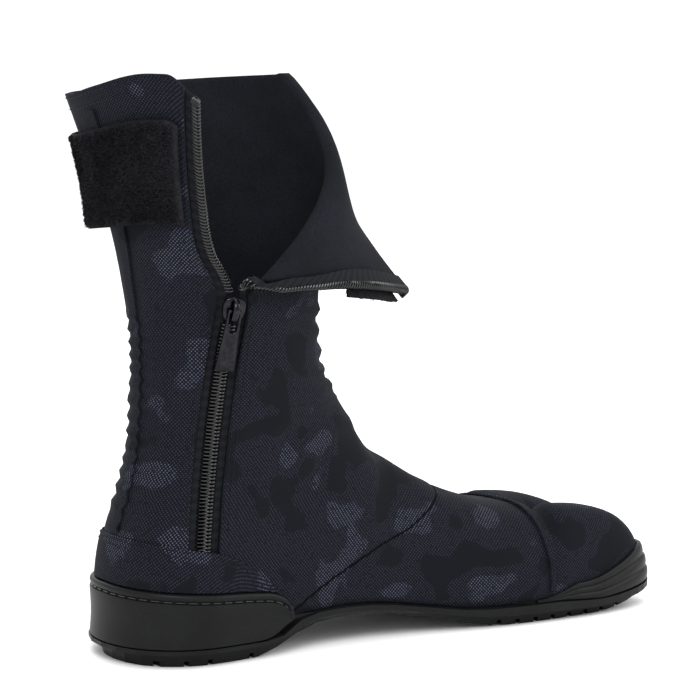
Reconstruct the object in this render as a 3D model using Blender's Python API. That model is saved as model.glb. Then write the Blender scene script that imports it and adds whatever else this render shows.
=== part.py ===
"""A jika tabi: a split-toed cloth boot on a rubber sole, for the left foot, with a side zip that is half open.

Frame: metres, +X towards the toes, +Y towards the outer (little toe) side, +Z up.
The origin is on the ground, under the middle of the heel.
"""

import math

import bmesh
import bpy
import numpy as np

# Driving sizes of the whole boot, in metres
SOLE_LENGTH = 0.2820
HEEL_BACK = 0.0390
BALL_WIDTH = 0.0980
TOE_HEIGHT = 0.0510
INSTEP_HEIGHT = 0.1080
ARCH_TOP = 0.0180
ANKLE_LENGTH = 0.0890
ANKLE_WIDTH = 0.0680
SHAFT_HEIGHT = 0.2570

# Cloth and the gaps between pieces
WALL = 0.0020
OVERLAY = 0.0009
GAP = 0.0003
SEAT_GAP = 0.0004

# The split between the big toe and the others
SPLIT_LENGTH = 0.0500
SPLIT_GAP = 0.0022
SPLIT_SIDE = -0.0105
VALLEY_LENGTH = 0.0130
BIG_TOE_CENTRE = -0.0310
SMALL_TOE_CENTRE = 0.0090
TOE_CLEARANCE = 0.0062
SMALL_TOE_SHORTER = 0.0030
SMALL_TOE_LOWER = 0.0018
TOE_DROP = 0.10
TOE_NOSE = 3.0

# Rubber
PLATFORM_INSET = 0.0006
CUP_THICKNESS = 0.0026
CUP_REACH = 0.680
COUNTER_REACH = 0.630
STRIP_WIDTH = 0.0050
SEAM_X = 0.1712
SEAM_WIDTH = 0.0048
BEAD_HEIGHT = 0.0036
GROOVE_DEPTH = 0.0009
GUARD_THICKNESS = 0.0036
GUARD_FROM = -0.230
GUARD_TO = 0.64
GUARD_TOP = 0.0290
TREAD_DEPTH = 0.0022
TREAD_WIDTH = 0.0022
INSOLE_THICKNESS = 0.0030
LEDGE_EASE = 0.0002
BLOCK_EASE = 0.0008
BLOCK_DRAFT = 0.0006
MM = 0.001

# Zip
ZIP_BOTTOM = 0.0500
ZIP_SLIDER = 0.1560
ZIP_SLOT = 0.0112
TAPE_TUCK = 0.0036
TAPE_THICKNESS = 0.0007
TAPE_GAP = 0.0006
COIL_WIDTH = 0.0036
COIL_HEIGHT = 0.0026
OPEN_ZIP = 0.0970
FOLD_ROLL = 0.0060
SLIDER_LENGTH = 0.0115
SLIDER_LEVEL = 0.1530
SLIDER_WIDTH = 0.0104
SLIDER_HEIGHT = 0.0046
PULL_LENGTH = 0.0270
PULL_WIDTH = 0.0084
PULL_THICKNESS = 0.0016
PULL_EYE = 0.0042
PULL_AXIS = 0.0014
BRIDGE_ROOM = 0.0037
BRIDGE_WIDTH = 0.0028
BRIDGE_THICKNESS = 0.0013

# Hook-and-loop closing tab and its patch
TAB_START = 0.0040
TAB_LENGTH = 0.1150
TAB_LOW = 0.360
TAB_HIGH = 0.815
TAB_THICKNESS = 0.0022
TAB_GAP = 0.0015
TAB_STAND_OFF = 0.0060
PATCH_OVERHANG = -0.0085
PATCH_WIDTH = 0.0240
PATCH_THICKNESS = 0.0016

# Sections of the foot, from the instep to the split.
# along: share of SOLE_LENGTH from the heel's back. inner, outer: half widths, as shares of BALL_WIDTH.
# ridge: height of the top line, as a share of INSTEP_HEIGHT. crest: its side shift, as a share of BALL_WIDTH.
# square: the exponent of the section's curve, 2 for an ellipse.
FOOT = {
    "along": (0.415, 0.4645, 0.511, 0.557, 0.599, 0.645, 0.688, 0.723, 0.759, 0.805),
    "inner": (0.362, 0.374, 0.390, 0.415, 0.440, 0.468, 0.490, 0.500, 0.505, 0.505),
    "outer": (0.367, 0.385, 0.408, 0.436, 0.464, 0.488, 0.500, 0.500, 0.492, 0.474),
    "ridge": (1.000, 0.795, 0.715, 0.640, 0.585, 0.535, 0.500, 0.483, 0.471, 0.462),
    "crest": (-0.030, -0.036, -0.045, -0.053, -0.062, -0.072, -0.082, -0.092, -0.102, -0.107),
    "square": (1.80, 1.84, 1.90, 2.00, 2.10, 2.22, 2.34, 2.44, 2.54, 2.64),
}

# Rings of the heel and shaft, from the sole to the collar.
# up: height as a share of SHAFT_HEIGHT. back, widest, front: X as shares of ANKLE_LENGTH.
# half: half width as a share of ANKLE_WIDTH. curve: the exponent of the rear half.
# Below the instep the ring has no front of its own: it runs into the foot.
SHAFT = {
    "up": (
        0.054, 0.117, 0.175, 0.233, 0.292, 0.350, 0.420,
        0.486, 0.545, 0.615, 0.716, 0.848, 1.000,
    ),
    "back": (
        -0.404, -0.404, -0.391, -0.350, -0.292, -0.256, -0.241,
        -0.236, -0.244, -0.272, -0.315, -0.405, -0.550,
    ),
    "widest": (
        0.000, 0.000, 0.011, 0.034, 0.090, 0.157, 0.225,
        0.264, 0.258, 0.234, 0.210, 0.146, 0.075,
    ),
    "front": (
        0.900, 0.900, 0.900, 0.900, 0.900, 0.900, 0.876,
        0.770, 0.752, 0.739, 0.749, 0.758, 0.755,
    ),
    "half": (
        0.508, 0.519, 0.510, 0.485, 0.470, 0.475, 0.485,
        0.493, 0.507, 0.544, 0.618, 0.743, 0.830,
    ),
    "curve": (
        2.10, 2.10, 2.10, 2.10, 2.10, 2.05, 2.00,
        2.00, 2.00, 2.00, 2.00, 2.00, 2.00,
    ),
}

# The zip's centre line on the inner side: X as a share of ANKLE_LENGTH at each share of SHAFT_HEIGHT.
# Above the slider it is the rear row's line, which has swung back.
ZIP_LINE = {
    "up": (0.194, 0.284, 0.381, 0.463, 0.514, 0.572, 0.607, 0.640, 0.700, 0.786, 0.860, 0.922, 1.000),
    "x": (-0.090, -0.055, -0.018, 0.014, 0.032, 0.050, 0.056, 0.034, -0.058, -0.130, -0.178, -0.208, -0.240),
}

# Height of the collar's edge as a share of SHAFT_HEIGHT, round the shaft from the zip's rear row,
# past the back and the outer side, to the zip's front row before it was folded down.
COLLAR = {
    "round": (0.00, 0.03, 0.07, 0.15, 0.23, 0.36, 0.50, 0.66, 0.82, 1.00),
    "up": (0.955, 0.978, 0.977, 0.956, 0.942, 0.946, 0.962, 0.976, 0.985, 0.990),
}

# Where the folded-down flap leaves the shaft: rise is the share of the way from the slider to the collar,
# round the share of the way from the zip's front edge to the middle of the shaft's front.
FOLD = {
    "rise": (0.00, 0.15, 0.30, 0.50, 0.70, 0.85, 1.00),
    "round": (0.000, 0.155, 0.315, 0.525, 0.725, 0.865, 1.000),
}

# The flap's zip edge: forward, outward and upward from the slider, as shares of OPEN_ZIP.
FLAP_EDGE = {
    "rise": (0.00, 0.06, 0.14, 0.25, 0.40, 0.55, 0.70, 0.85, 1.00),
    "forward": (0.000, 0.010, 0.060, 0.165, 0.315, 0.465, 0.625, 0.785, 0.950),
    "outward": (0.000, 0.022, 0.050, 0.074, 0.072, 0.042, -0.005, -0.070, -0.150),
    "upward": (0.000, 0.054, 0.082, 0.090, 0.092, 0.090, 0.072, 0.044, 0.010),
}

# The sole along its length.
# along: share of SOLE_LENGTH. top and bottom: heights as shares of ARCH_TOP.
# ledge_top, ledge_low: the outer ledge, in the same shares. platform_out, ledge_out, block_out: how far the
# platform, the ledge and the tread block stand out from the cloth's edge, in millimetres.
SOLE = {
    "along": (
        0.000, 0.125, 0.200, 0.245, 0.270, 0.300, 0.360, 0.425,
        0.510, 0.580, 0.640, 0.690, 0.750, 0.850, 0.920, 1.000,
    ),
    "top": (
        0.880, 0.880, 0.880, 0.890, 0.920, 0.960, 1.000, 0.970,
        0.770, 0.600, 0.550, 0.550, 0.620, 0.640, 0.690, 0.830,
    ),
    "bottom": (
        0.000, 0.000, 0.000, 0.180, 0.400, 0.620, 0.730, 0.710,
        0.490, 0.220, 0.050, 0.000, 0.000, 0.000, 0.130, 0.420,
    ),
    "ledge_top": (
        0.445, 0.445, 0.445, 0.520, 0.760, 0.915, 0.965, 0.930,
        0.735, 0.565, 0.515, 0.515, 0.515, 0.440, 0.530, 0.710,
    ),
    "ledge_low": (
        0.340, 0.340, 0.340, 0.430, 0.560, 0.760, 0.830, 0.800,
        0.600, 0.400, 0.300, 0.290, 0.280, 0.250, 0.350, 0.570,
    ),
    "platform_out": (
        -0.6, -0.6, -0.6, -0.6, -0.6, 0.6, 1.4, 1.4,
        1.4, 1.4, 1.2, -0.3, -0.6, -0.6, -0.6, -0.6,
    ),
    "ledge_out": (
        3.6, 3.6, 3.6, 3.4, 2.8, 2.4, 2.2, 2.2,
        2.4, 2.6, 2.6, 2.6, 3.0, 4.2, 4.2, 4.2,
    ),
    "block_out": (
        -1.8, -1.8, -1.8, -1.4, -0.4, 1.0, 1.6, 1.6,
        1.0, -1.0, -2.2, -2.4, -2.2, -1.6, -1.2, -0.6,
    ),
}

# Height of the heel counter's seam from the middle of the back forward, on both sides.
COUNTER = {
    "round": (0.00, 0.20, 0.40, 0.55, 0.64, 0.75, 0.87, 0.95, 1.00),
    "up": (0.0540, 0.0534, 0.0518, 0.0495, 0.0480, 0.0445, 0.0380, 0.0330, 0.0300),
}

# Height of the heel cup's top edge in the same way.
CUP = {
    "round": (0.00, 0.30, 0.60, 0.80, 0.90, 0.96, 1.00),
    "up": (0.0340, 0.0330, 0.0312, 0.0298, 0.0284, 0.0258, 0.0222),
}

# The grooves across the tread, as shares of SOLE_LENGTH from the heel's back.
TREAD = {"along": (0.050, 0.087, 0.124, 0.198, 0.655, 0.690, 0.725, 0.760, 0.795, 0.830, 0.865, 0.900)}

BOX = ((0, 3, 2, 1), (4, 5, 6, 7), (0, 1, 5, 4), (1, 2, 6, 5), (2, 3, 7, 6), (3, 0, 4, 7))

# Mesh steps
HEEL_STATIONS = 14
BALL_STATIONS = 9
TOE_STATIONS = 9
OPEN_STATIONS = 18
SECTION_STEPS = 9
FOOT_ROWS = 10
TOE_ROWS = 8
FRONT_STEPS = 11
BACK_STEPS = 8
OUTER_STEPS = 18
LOW_RINGS = 4
DENSE = 120


def blend(table, column, at):
    """A smooth curve through one column of a table, by its first column, with no overshoot."""
    key = next(iter(table))
    xs, ys = np.array(table[key], float), np.array(table[column], float)
    step = np.diff(ys) / np.diff(xs)
    slope = np.concatenate([[step[0]], (step[1:] + step[:-1]) / 2, [step[-1]]])
    turns = np.concatenate([[False], step[1:] * step[:-1] <= 0, [False]])
    slope[turns] = 0
    at = np.clip(np.asarray(at, float), xs[0], xs[-1])
    i = np.clip(np.searchsorted(xs, at, side="right") - 1, 0, len(xs) - 2)
    width = xs[i + 1] - xs[i]
    t = (at - xs[i]) / width
    return (
        ys[i] * (1 + 2 * t) * (1 - t) ** 2
        + ys[i + 1] * t * t * (3 - 2 * t)
        + slope[i] * width * t * (1 - t) ** 2
        + slope[i + 1] * width * t * t * (t - 1)
    )


def ease(t):
    t = np.clip(t, 0, 1)
    return t * t * (3 - 2 * t)


def along(x):
    """Share of the sole's length at a place on the X axis."""
    return (x + HEEL_BACK) / SOLE_LENGTH


def place(share):
    """The reverse of along."""
    return share * SOLE_LENGTH - HEEL_BACK


JUNCTION = place(FOOT["along"][0])
TOE_TIP = place(1.0) - TOE_CLEARANCE
SPLIT_ROOT = TOE_TIP - SPLIT_LENGTH
TOES = {
    "inner": {"centre": BIG_TOE_CENTRE, "tip": TOE_TIP, "round": 3.2, "split_round": 4.5, "height": TOE_HEIGHT},
    "outer": {
        "centre": SMALL_TOE_CENTRE,
        "tip": TOE_TIP - SMALL_TOE_SHORTER,
        "round": 2.25,
        "split_round": 4.6,
        "height": TOE_HEIGHT - SMALL_TOE_LOWER,
    },
}
SIGN = {"inner": -1.0, "outer": 1.0}


def feather(x):
    """Height at which the cloth meets the sole."""
    return blend(SOLE, "top", along(x)) * ARCH_TOP + GAP


def foot_side(side, x):
    """Y of the foot's edge on one side, back of the split."""
    return SIGN[side] * blend(FOOT, side, along(x)) * BALL_WIDTH


def toe_share(side, x):
    return np.clip((x - SPLIT_ROOT) / (TOES[side]["tip"] - SPLIT_ROOT), 0, 1)


def taper(t, power):
    return (1 - t**power) ** (1 / power)


def toe_walls(side, x):
    """Y of one toe stall's outer wall and of its wall in the split."""
    toe = TOES[side]
    t = toe_share(side, x)
    edge = foot_side(side, min(x, SPLIT_ROOT))
    gap = SPLIT_GAP / 2 * min(1.0, max(0.0, (x - SPLIT_ROOT) / (2 * SPLIT_GAP)))
    split = SPLIT_SIDE + SIGN[side] * gap
    outer = toe["centre"] + (edge - toe["centre"]) * taper(t, toe["round"])
    inner = toe["centre"] + (split - toe["centre"]) * taper(t, toe["split_round"])
    return outer, inner


def toe_height(side, x):
    """Height of a toe stall's top line."""
    t = toe_share(side, x)
    low = feather(x)
    return low + (TOES[side]["height"] - low) * (1 - TOE_DROP * t) * taper(t, TOE_NOSE)


def arch(angle, power):
    """A point of a squared arch: across from 1 to -1 and up from 0 to 1 and back."""
    c, s = math.cos(angle), max(0.0, math.sin(angle))
    return math.copysign(abs(c) ** (2 / power), c), s ** (2 / power)


def foot_point(side, step, x):
    """A point of the foot's skin: step 0 is at the sole and SECTION_STEPS at the middle."""
    turn = step / SECTION_STEPS
    power = float(blend(FOOT, "square", along(x)))
    ridge = float(blend(FOOT, "ridge", along(x))) * INSTEP_HEIGHT
    crest = float(blend(FOOT, "crest", along(x))) * BALL_WIDTH
    low = float(feather(x))
    across, up = arch(turn * math.pi / 2, power)
    edge = float(foot_side(side, x))
    half = np.array([x, crest + (edge - crest) * across, low + (ridge - low) * up])
    split = float(ease((x - SPLIT_ROOT + VALLEY_LENGTH) / VALLEY_LENGTH))
    if split <= 0:
        return half
    outer, inner = toe_walls(side, x)
    t = float(toe_share(side, x))
    middle, reach = (outer + inner) / 2, (outer - inner) / 2
    across, up = arch(turn * math.pi, power)
    height = toe_height(side, x) - low
    whole = np.array([x, middle + reach * across, low + height * up])
    return half * (1 - split) + whole * split


def junction_point(side, height):
    """The foot's skin at the junction section, at a given height, and the level direction in it there."""
    low, ridge = float(feather(JUNCTION)), INSTEP_HEIGHT
    power = FOOT["square"][0]
    up = min(1.0, max(0.0, (height - low) / (ridge - low)))
    step = math.asin(up ** (power / 2)) * 2 / math.pi * SECTION_STEPS
    point = foot_point(side, step, JUNCTION)
    small = 0.02
    a, b = max(0.0, step - small), min(float(SECTION_STEPS), step + small)
    across = foot_point(side, b, JUNCTION) - foot_point(side, a, JUNCTION)
    forward = foot_point(side, step, JUNCTION + 0.002) - point
    normal = np.cross(across, forward)
    level = np.array([-normal[1], normal[0]])
    level *= math.copysign(1.0, level[0]) / np.linalg.norm(level)
    if up > 0.999:
        level = np.array([0.0, -SIGN[side]])
    return point[:2], level


def half_ring(side, height):
    """Half of a level ring, from the front or the junction to the middle of the back, as X and Y."""
    share = height / SHAFT_HEIGHT
    back, widest, front = (float(blend(SHAFT, k, share)) * ANKLE_LENGTH for k in ("back", "widest", "front"))
    half = SIGN[side] * float(blend(SHAFT, "half", share)) * ANKLE_WIDTH
    power = float(blend(SHAFT, "curve", share))
    turn = np.linspace(0, math.pi / 2, DENSE)
    rear = np.stack(
        [
            widest - (widest - back) * np.sin(turn) ** (2 / power),
            half * np.cos(turn) ** (2 / power),
        ],
        1,
    )
    crest = FOOT["crest"][0] * BALL_WIDTH
    if height >= INSTEP_HEIGHT:
        fade = ease((height - INSTEP_HEIGHT) / 0.030)
        crest *= 1 - fade
        sharp = 2.0 - 0.2 * (1 - fade)
        lead = np.stack(
            [
                widest + (front - widest) * np.cos(turn) ** (2 / sharp),
                crest + (half - crest) * np.sin(turn) ** (2 / sharp),
            ],
            1,
        )
    else:
        start, level = junction_point(side, height)
        pull = (start[0] - widest) * 1.05
        t = np.linspace(0, 1, DENSE)[:, None]
        end = np.array([widest, half])
        lead = (
            start * (1 + 2 * t) * (1 - t) ** 2
            + end * t * t * (3 - 2 * t)
            - level * pull * t * (1 - t) ** 2
            - np.array([pull, 0.0]) * t * t * (t - 1)
        )
    return np.concatenate([lead, rear[1:]])


def lengths(points):
    return np.concatenate([[0], np.cumsum(np.linalg.norm(np.diff(points, axis=0), axis=1))])


def on_line(points, run, at):
    return np.stack([np.interp(at, run, points[:, k]) for k in range(points.shape[1])], -1)


def zip_line(height):
    return float(blend(ZIP_LINE, "x", height / SHAFT_HEIGHT)) * ANKLE_LENGTH


ROWS = {}


def ring(height):
    """A whole level ring as a path from the front, back along the inner side, to the front again,
    with the arc length of the zip slot's two edges and of the back."""
    key = round(float(height), 7)
    if key not in ROWS:
        inner, outer = half_ring("inner", height), half_ring("outer", height)[::-1]
        points = np.concatenate([inner, outer[1:]])
        run = lengths(points)
        back = run[len(inner) - 1]
        side = slice(DENSE // 2, len(inner))
        middle = np.interp(-zip_line(height), -points[side, 0], run[side])
        ROWS[key] = (points, run, middle - ZIP_SLOT / 2, middle + ZIP_SLOT / 2, back)
    return ROWS[key]


def level_at(x, ring_height):
    """The real height of a ring at X: the lowest rings follow the sole's top."""
    low, ridge = float(feather(JUNCTION)), INSTEP_HEIGHT
    if ring_height >= ridge:
        return np.full(np.shape(x), ring_height)
    here = feather(np.minimum(x, JUNCTION))
    return here + (ring_height - low) * (ridge - here) / (ridge - low)


def columns(first, slot_front, slot_back, back, last):
    """Arc lengths of the mesh's columns round a ring."""
    return np.concatenate(
        [
            np.linspace(first, slot_front, FRONT_STEPS + 1)[:-1],
            np.linspace(slot_front, slot_back, 2)[:-1],
            np.linspace(slot_back, back, BACK_STEPS + 1)[:-1],
            np.linspace(back, last, OUTER_STEPS + 1),
        ]
    )


def shaft_row(height):
    """One row of the shaft's skin below the slider, as 3-D points at the mesh's columns."""
    points, run, slot_front, slot_back, back = ring(height)
    flat = on_line(points, run, columns(0, slot_front, slot_back, back, run[-1]))
    return np.column_stack([flat, level_at(flat[:, 0], height)])


def slider_front():
    """The cloth's edge in front of the slider."""
    points, run, slot_front, _, _ = ring(ZIP_SLIDER)
    flat = on_line(points, run, slot_front)
    return np.array([flat[0], flat[1], ZIP_SLIDER])


def flap_edge(rise):
    """The flap's zip edge, from the slider at rise 0 to the collar corner at rise 1."""
    edge = (float(blend(FLAP_EDGE, k, rise)) * OPEN_ZIP for k in ("forward", "outward", "upward"))
    forward, outward, upward = edge
    return slider_front() + np.array([forward, -outward, upward])


def front_share():
    """Share of the way round a row, from the zip's rear edge past the back, at the middle of the front."""
    _, run, slot_front, slot_back, _ = ring(ZIP_SLIDER)
    return (run[-1] - slot_back) / (run[-1] - slot_back + slot_front)


def open_row(rise):
    """A dense row above the slider, from the zip's rear edge round the back to the fold, then out along the flap.
    Returns the points, their arc length, and the arc length of the back and of the fold."""
    key = ("open", round(float(rise), 6))
    if key in ROWS:
        return ROWS[key]
    points, run, _, slot_back, back = ring(ZIP_SLIDER + rise * (SHAFT_HEIGHT - ZIP_SLIDER))
    slot_front = ring(ZIP_SLIDER)[2]
    turn = np.linspace(slot_back, run[-1] + slot_front, 3 * DENSE)
    flat = on_line(points, run, np.where(turn > run[-1], turn - run[-1], turn))
    share = (turn - turn[0]) / (turn[-1] - turn[0])
    collar = blend(COLLAR, "up", share) * SHAFT_HEIGHT
    skin = np.column_stack([flat, ZIP_SLIDER + rise * (collar - ZIP_SLIDER)])
    fold = 1 - (1 - front_share()) * float(blend(FOLD, "round", rise))
    fold = turn[0] + fold * (turn[-1] - turn[0])
    kept = np.concatenate([skin[turn < fold - 1e-7], [on_line(skin, turn, fold)]])
    start, end = kept[-1], flap_edge(rise)
    heading = kept[-1] - kept[-4]
    heading /= np.linalg.norm(heading)
    outward = np.array([-heading[1], heading[0], 0.0])
    span = np.linalg.norm(end - start)
    roll = min(FOLD_ROLL, 0.25 * span)
    hang = (end - start) * np.array([0.14, 0.14, 0.52])
    first = start + heading * roll * 1.1 + outward * roll * 0.6
    second = start + hang + outward * roll * 1.5
    t = np.linspace(0, 1, DENSE)[1:, None]
    flap = start * (1 - t) ** 3 + 3 * first * t * (1 - t) ** 2 + 3 * second * t * t * (1 - t) + end * t**3
    whole = np.concatenate([kept, flap])
    length = lengths(whole)
    ROWS[key] = (whole, length, back - slot_back, length[len(kept) - 1])
    return ROWS[key]


def open_columns(step):
    """An open row at the mesh's columns, in the same order as shaft_row. The fold moves one column a row."""
    if step == 0:
        return shaft_row(ZIP_SLIDER)
    whole, length, back, fold = open_row(step / FRONT_STEPS)
    kept = FRONT_STEPS - step
    total = fold / (1 - (1 - front_share()) * float(blend(FOLD, "round", step / FRONT_STEPS)))
    front = front_share() * total
    flap = np.linspace(0, 1, step + 1)
    reach = length[-1] - fold
    if step > 2:
        roll = min(FOLD_ROLL, 0.25 * reach)
        flap = np.concatenate([[0, roll * 0.8, roll * 1.8], np.linspace(roll * 1.8, reach, step - 1)[1:]]) / reach
    places = np.concatenate(
        [
            np.linspace(front, fold, kept + 1)[:-1],
            fold + flap * reach,
            np.linspace(0, back, BACK_STEPS + 1)[:-1],
            np.linspace(back, front, OUTER_STEPS + 1),
        ]
    )
    return on_line(whole, length, places)


def heel_skin(share, height):
    """The skin round the heel at a real height: share runs from -1 at the junction on the inner side,
    through 0 at the back, to 1 on the outer side. Below the cloth it goes straight down."""
    low, ridge = float(feather(JUNCTION)), INSTEP_HEIGHT
    level = max(height, low)
    for _ in range(2):
        points, run, _, _, back = ring(level)
        at = back + share * (back if share < 0 else run[-1] - back)
        x, y = on_line(points, run, at)
        here = float(feather(x))
        level = low + max(0.0, height - here) * (ridge - low) / (ridge - here)
    points, run, _, _, back = ring(level)
    x, y = on_line(points, run, back + share * (back if share < 0 else run[-1] - back))
    return np.array([x, y, height])


def foot_skin(share, x):
    """The skin across the foot at X: share runs from -1 at the inner edge, over the top, to 1 at the outer edge."""
    return foot_point("inner" if share < 0 else "outer", (1 - abs(share)) * SECTION_STEPS, x)


def toe_skin(side, share, height):
    """The skin round one toe stall at a height: share runs from 0 at the split's root on the foot's side,
    through 0.5 at the tip, to 1 at the root inside the split. A negative share is behind the root."""
    tip = TOES[side]["tip"]
    xs = SPLIT_ROOT + (tip - SPLIT_ROOT) * (1 - np.linspace(1, 0, DENSE) ** 3)
    rise = np.maximum(height - feather(xs), 0)
    room = np.maximum(toe_height(side, xs) - feather(xs), 0)
    nose = float(np.interp(0, rise - room, xs))
    turn = min(share, 1 - share) * math.pi
    if turn < 0:
        x = SPLIT_ROOT + turn / math.pi * 2 * (nose - SPLIT_ROOT)
    else:
        x = SPLIT_ROOT + (nose - SPLIT_ROOT) * math.sin(turn) ** (2 / 3)
    low, high = float(feather(x)), float(toe_height(side, max(x, SPLIT_ROOT)))
    up = min(1.0, max(0.0, (height - low) / max(high - low, 1e-9)))
    power = float(blend(FOOT, "square", along(x)))
    across = (1 - up**power) ** (1 / power)
    if x < SPLIT_ROOT:
        steps = np.linspace(0, SECTION_STEPS * 0.7, 40)
        section = np.array([foot_point(side, s, x) for s in steps])
        return np.array([x, np.interp(height, section[:, 2], section[:, 1]), height])
    outer, inner = toe_walls(side, x)
    middle, reach = (outer + inner) / 2, (outer - inner) / 2
    return np.array([x, middle + (reach if share < 0.5 else -reach) * across, height])


def zip_skin(row, reach, level):
    """The skin beside the zip. row is rear or front, reach the distance from the cloth's edge into the cloth,
    level the height up to the slider and past it the slider's height plus the share of the open part times its
    height. A negative reach is beyond the edge."""
    if level <= ZIP_SLIDER:
        points, run, slot_front, slot_back, _ = ring(level)
        x, y = on_line(points, run, slot_back + reach if row == "rear" else slot_front - reach)
        return np.array([x, y, float(level_at(x, level))])
    whole, length, _, _ = open_row((level - ZIP_SLIDER) / (SHAFT_HEIGHT - ZIP_SLIDER))
    at = reach if row == "rear" else length[-1] - reach
    if 0 <= at <= length[-1]:
        return on_line(whole, length, at)
    a, b = (0, 3) if at < 0 else (-1, -4)
    heading = whole[a] - whole[b]
    heading /= np.linalg.norm(heading)
    return whole[a] + heading * (-at if at < 0 else at - length[-1])


def raised(skin, facing, small=(0.01, 0.0005)):
    """A function that gives the place off the skin by a height, along the skin's outward direction."""

    def spot(share, level, height):
        a, b = skin(share - small[0], level), skin(share + small[0], level)
        c, d = skin(share, level - small[1]), skin(share, level + small[1])
        normal = np.cross(b - a, d - c) * facing
        return skin(share, level) + normal / np.linalg.norm(normal) * height

    return spot


def loft(name, stations, section, finish, smooth=True):
    """A solid through closed sections, one at each station, with flat ends."""
    rings = [section(s) for s in stations]
    width = len(rings[0])
    points = [p for one in rings for p in one]
    faces = [
        (r * width + c, r * width + (c + 1) % width, (r + 1) * width + (c + 1) % width, (r + 1) * width + c)
        for r in range(len(rings) - 1)
        for c in range(width)
    ]
    last = (len(rings) - 1) * width
    faces += [tuple(range(width)), tuple(range(last + width - 1, last - 1, -1))]
    return add(name, points, faces, finish, smooth)


def collection(name):
    made = bpy.data.collections.new(name)
    bpy.context.scene.collection.children.link(made)
    return made


def material(name, colour, roughness, metallic=0.0):
    made = bpy.data.materials.new(name)
    made.use_nodes = True
    shader = made.node_tree.nodes["Principled BSDF"]
    shader.inputs["Base Color"].default_value = (*colour, 1.0)
    shader.inputs["Roughness"].default_value = roughness
    shader.inputs["Metallic"].default_value = metallic
    return made


def add(name, points, faces, finish, smooth=True):
    """A mesh object in the boot's collection. Faces that share an edge are turned the same way."""
    mesh = bpy.data.meshes.new(name)
    mesh.from_pydata([tuple(map(float, p)) for p in points], [], [tuple(map(int, f)) for f in faces])
    work = bmesh.new()
    work.from_mesh(mesh)
    bmesh.ops.remove_doubles(work, verts=work.verts, dist=1e-6)
    bmesh.ops.recalc_face_normals(work, faces=work.faces)
    work.to_mesh(mesh)
    work.free()
    if smooth:
        mesh.shade_smooth()
    made = bpy.data.objects.new(name, mesh)
    BOOT.objects.link(made)
    made.data.materials.append(finish)
    return made


def give_wall(obj, thickness):
    """Turns an open skin into a solid: the same skin again on its inner side, and a rim that joins the two.
    Where the skin meets the sole its wall stays level, so that it stands flat on the sole."""
    work = bmesh.new()
    work.from_mesh(obj.data)
    work.normal_update()
    outer = list(work.verts)
    rim = [e for e in work.edges if e.is_boundary]
    inner = {}
    for v in outer:
        inward = -v.normal
        if v.is_boundary and v.co.z < ARCH_TOP + 2 * GAP:
            inward.z = 0
        inner[v] = v.co + inward.normalized() * thickness * min(v.calc_shell_factor(), 1.3)
    made = {v: work.verts.new(place_at) for v, place_at in inner.items()}
    for face in list(work.faces):
        work.faces.new([made[v] for v in reversed(face.verts)])
    for edge in rim:
        a, b = edge.verts
        loop = edge.link_loops[0]
        if loop.vert != a:
            a, b = b, a
        work.faces.new([b, a, made[a], made[b]])
    work.to_mesh(obj.data)
    work.free()
    obj.data.shade_smooth()


def grid_faces(rows, width, start=0, skip=()):
    """Quads between successive rows of points, leaving out the columns in skip."""
    return [
        (start + r * width + c, start + r * width + c + 1, start + (r + 1) * width + c + 1, start + (r + 1) * width + c)
        for r in range(rows - 1)
        for c in range(width - 1)
        if c not in skip
    ]


def make_upper(finish):
    """Foot, toe stalls and shaft as one skin, then its wall inside it."""
    points, faces = [], []

    def rows_of(rows, skip=(), split=False):
        start = len(points)
        for row in rows:
            points.extend(row)
        quads = grid_faces(len(rows), len(rows[0]), start, skip)
        if split:
            quads = [t for a, b, c, d in quads for t in ((a, b, d), (b, c, d))]
        faces.extend(quads)

    stations = np.linspace(JUNCTION, SPLIT_ROOT, FOOT_ROWS + 1)
    steps = range(SECTION_STEPS + 1)
    for side in ("inner", "outer"):
        rows_of([[foot_point(side, s, x) for s in steps] for x in stations])
        turns = np.concatenate([[0, 0.045], np.linspace(0, 1, TOE_ROWS + 1)[1:]]) * math.pi / 2
        shares = np.sin(turns) ** (2 / 3)
        tip = TOES[side]["tip"]
        toe_stations = SPLIT_ROOT + (tip - SPLIT_ROOT) * shares
        rows_of([[foot_point(side, s, min(x, tip)) for s in steps] for x in toe_stations])
    levels = [foot_point("inner", s, JUNCTION)[2] for s in steps]
    slot = FRONT_STEPS
    rings = [shaft_row(z) for z in levels]
    slotted = max(i for i, z in enumerate(levels) if z < ZIP_BOTTOM)
    rows_of(rings[: slotted + 1])
    rows_of(rings[slotted:], skip=(slot,))
    heights = np.linspace(INSTEP_HEIGHT, ZIP_SLIDER, LOW_RINGS + 1)
    rows_of([shaft_row(z) for z in heights], skip=(slot,))
    open_rows = [open_columns(i) for i in range(FRONT_STEPS + 1)]
    rows_of([row[: slot + 1] for row in open_rows], split=True)
    rows_of([row[slot + 1 :] for row in open_rows])
    upper = add("upper", points, faces, finish)
    return upper


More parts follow.
